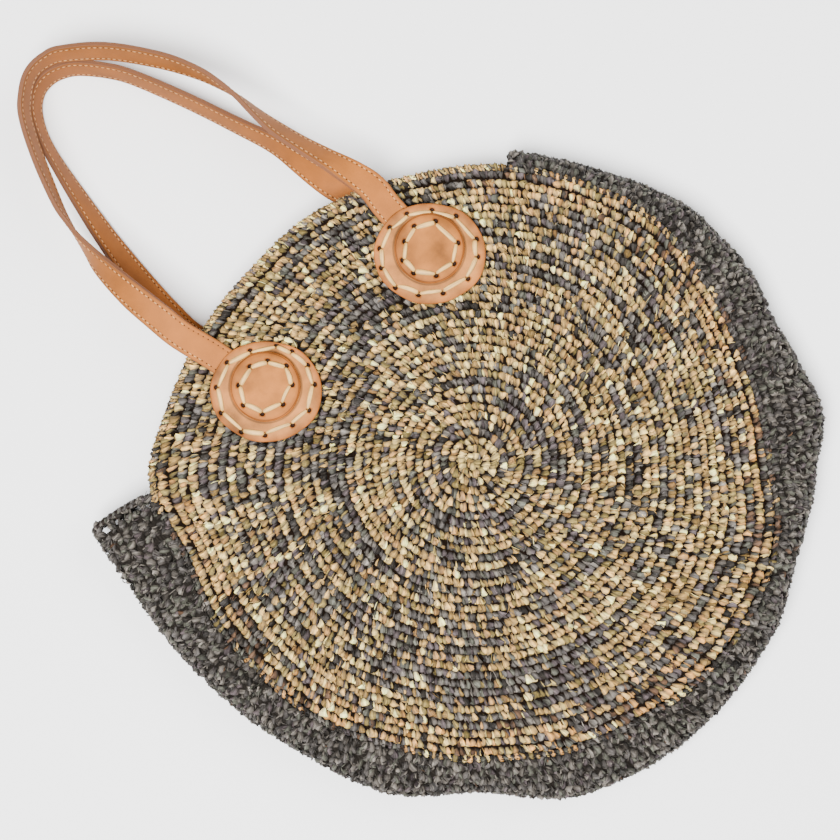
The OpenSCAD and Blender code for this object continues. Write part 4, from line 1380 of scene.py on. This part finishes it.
class BAG_OT_gusset(BuildOperator, bpy.types.Operator):
    """Crochet the gusset with its finished ends"""

    bl_idname, bl_label = "bag.gusset", "Gusset"

    def build(self, straw, leather):
        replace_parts(gusset_fabric(straw), "gusset")
        gusset_stitches(straw, True, 41)
        gusset_stitches(straw, False, 42)
        gusset_posts(straw, 43)
        gusset_end(straw, "left", GUSSET_START, 1, radius=2.5, pitch=4.6, seed=44)
        gusset_end(straw, "right", GUSSET_START + GUSSET_ANGLE, -1, radius=1.6, pitch=3.0, seed=45)


class BAG_OT_edges(BuildOperator, bpy.types.Operator):
    """Work the seams and the edges of the mouth"""

    bl_idname, bl_label = "bag.edges", "Seams and mouth edges"

    def build(self, straw, leather):
        seam_and_mouth(straw, "front", 1, 31)
        seam_and_mouth(straw, "back", -1, 32)


class BAG_OT_medallions(BuildOperator, bpy.types.Operator):
    """Cut, punch and lace the four medallions"""

    bl_idname, bl_label = "bag.medallions", "Medallions"

    def build(self, straw, leather):
        backing = plain_leather_finish("backing_leather", leather.backing)
        for i, name in enumerate(TURNS):
            medallion(leather, name, 51 + i)
            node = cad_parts[f"{name}_backing_disc"]
            node.data.materials.clear()
            node.data.materials.append(backing)


class BAG_OT_handles(BuildOperator, bpy.types.Operator):
    """Cut the two handles and sew their plies together"""

    bl_idname, bl_label = "bag.handles", "Handles"

    def build(self, straw, leather):
        for i, face in enumerate(("front", "back")):
            strap(leather, face)
            strap_stitches(leather, face, 61 + i)


class BAG_OT_stage(bpy.types.Operator):
    """Lay the floor and set the lamps and the camera"""

    bl_idname, bl_label = "bag.stage", "Stage"
    bl_options = {"REGISTER", "UNDO"}

    def execute(self, context):
        s = context.scene.bag_stage
        mesh = bpy.data.meshes.new("floor")
        corners = [(x * FLOOR_HALF, y * FLOOR_HALF, FLOOR_Z) for x, y in ((-1, -1), (1, -1), (1, 1), (-1, 1))]
        mesh.from_pydata(corners, [], [(0, 1, 2, 3)])
        mesh.materials.append(Finish("floor_paper", Specular_IOR_Level=0.1).done(s.floor, rough=0.9))
        linked("floor", mesh)
        world = bpy.data.worlds.new("soft_sky")
        world.use_nodes = True
        sky = world.node_tree.nodes["Background"]
        sky.inputs["Color"].default_value, sky.inputs["Strength"].default_value = (1, 1, 1, 1), s.world
        context.scene.world = world
        # Lamps: power, size, and place to the right, up in the picture and above the floor, in
        # metres; both look at the middle of the bag
        right, up = np.array(polar(1, VIEW_TURN)), np.array(polar(1, VIEW_TURN + math.pi / 2))
        for name, power, size, aside, ahead, height in (
            ("key", s.key, 1.3, -0.55, -0.5, 2.2),
            ("fill", s.fill, 1.2, 0.9, 0.6, 1.2),
        ):
            lamp = bpy.data.lights.new(name, "AREA")
            lamp.energy, lamp.size = power, size
            obj = linked(name, lamp)
            obj.location = (*(aside * right + ahead * up), height)
            obj.rotation_mode = "QUATERNION"
            obj.rotation_quaternion = (Vector(LAMPS_AIM) - obj.location).to_track_quat("-Z", "Y")
        camera = bpy.data.cameras.new("camera")
        camera.lens, camera.sensor_width = LENS, SENSOR
        camera.clip_start, camera.clip_end = 0.05, 20.0
        obj = linked("camera", camera)
        obj.location = (*VIEW_AT, FLAT_H * MM + VIEW_W / 2 / (SENSOR / 2 / LENS))
        obj.rotation_euler = (0, 0, VIEW_TURN)
        context.scene.camera = obj
        return {"FINISHED"}


class BAG_PT_panel(bpy.types.Panel):
    """The bag's pieces, to be built from the top down"""

    bl_label, bl_idname = "Round bag", "BAG_PT_panel"
    bl_space_type, bl_region_type, bl_category = "VIEW_3D", "UI", "Bag"

    def draw(self, context):
        for group in (context.scene.bag_straw, context.scene.bag_leather, context.scene.bag_stage):
            box = self.layout.box()
            for name in group.bl_rna.properties.keys():
                if name not in {"rna_type", "name"}:
                    box.prop(group, name)
        for operator in OPERATORS:
            self.layout.operator(operator.bl_idname)


OPERATORS = BAG_OT_stage, BAG_OT_panels, BAG_OT_gusset, BAG_OT_edges, BAG_OT_medallions, BAG_OT_handles
CLASSES = (StrawSettings, LeatherSettings, StageSettings, *OPERATORS, BAG_PT_panel)


def register():
    for made in CLASSES:
        bpy.utils.register_class(made)
    bpy.types.Scene.bag_straw = PointerProperty(type=StrawSettings)
    bpy.types.Scene.bag_leather = PointerProperty(type=LeatherSettings)
    bpy.types.Scene.bag_stage = PointerProperty(type=StageSettings)


def unregister():
    del bpy.types.Scene.bag_straw, bpy.types.Scene.bag_leather, bpy.types.Scene.bag_stage
    for made in reversed(CLASSES):
        bpy.utils.unregister_class(made)


def main():
    register()
    for operator in OPERATORS:
        group, name = operator.bl_idname.split(".")
        getattr(getattr(bpy.ops, group), name)()


if __name__ == "__main__":
    main()
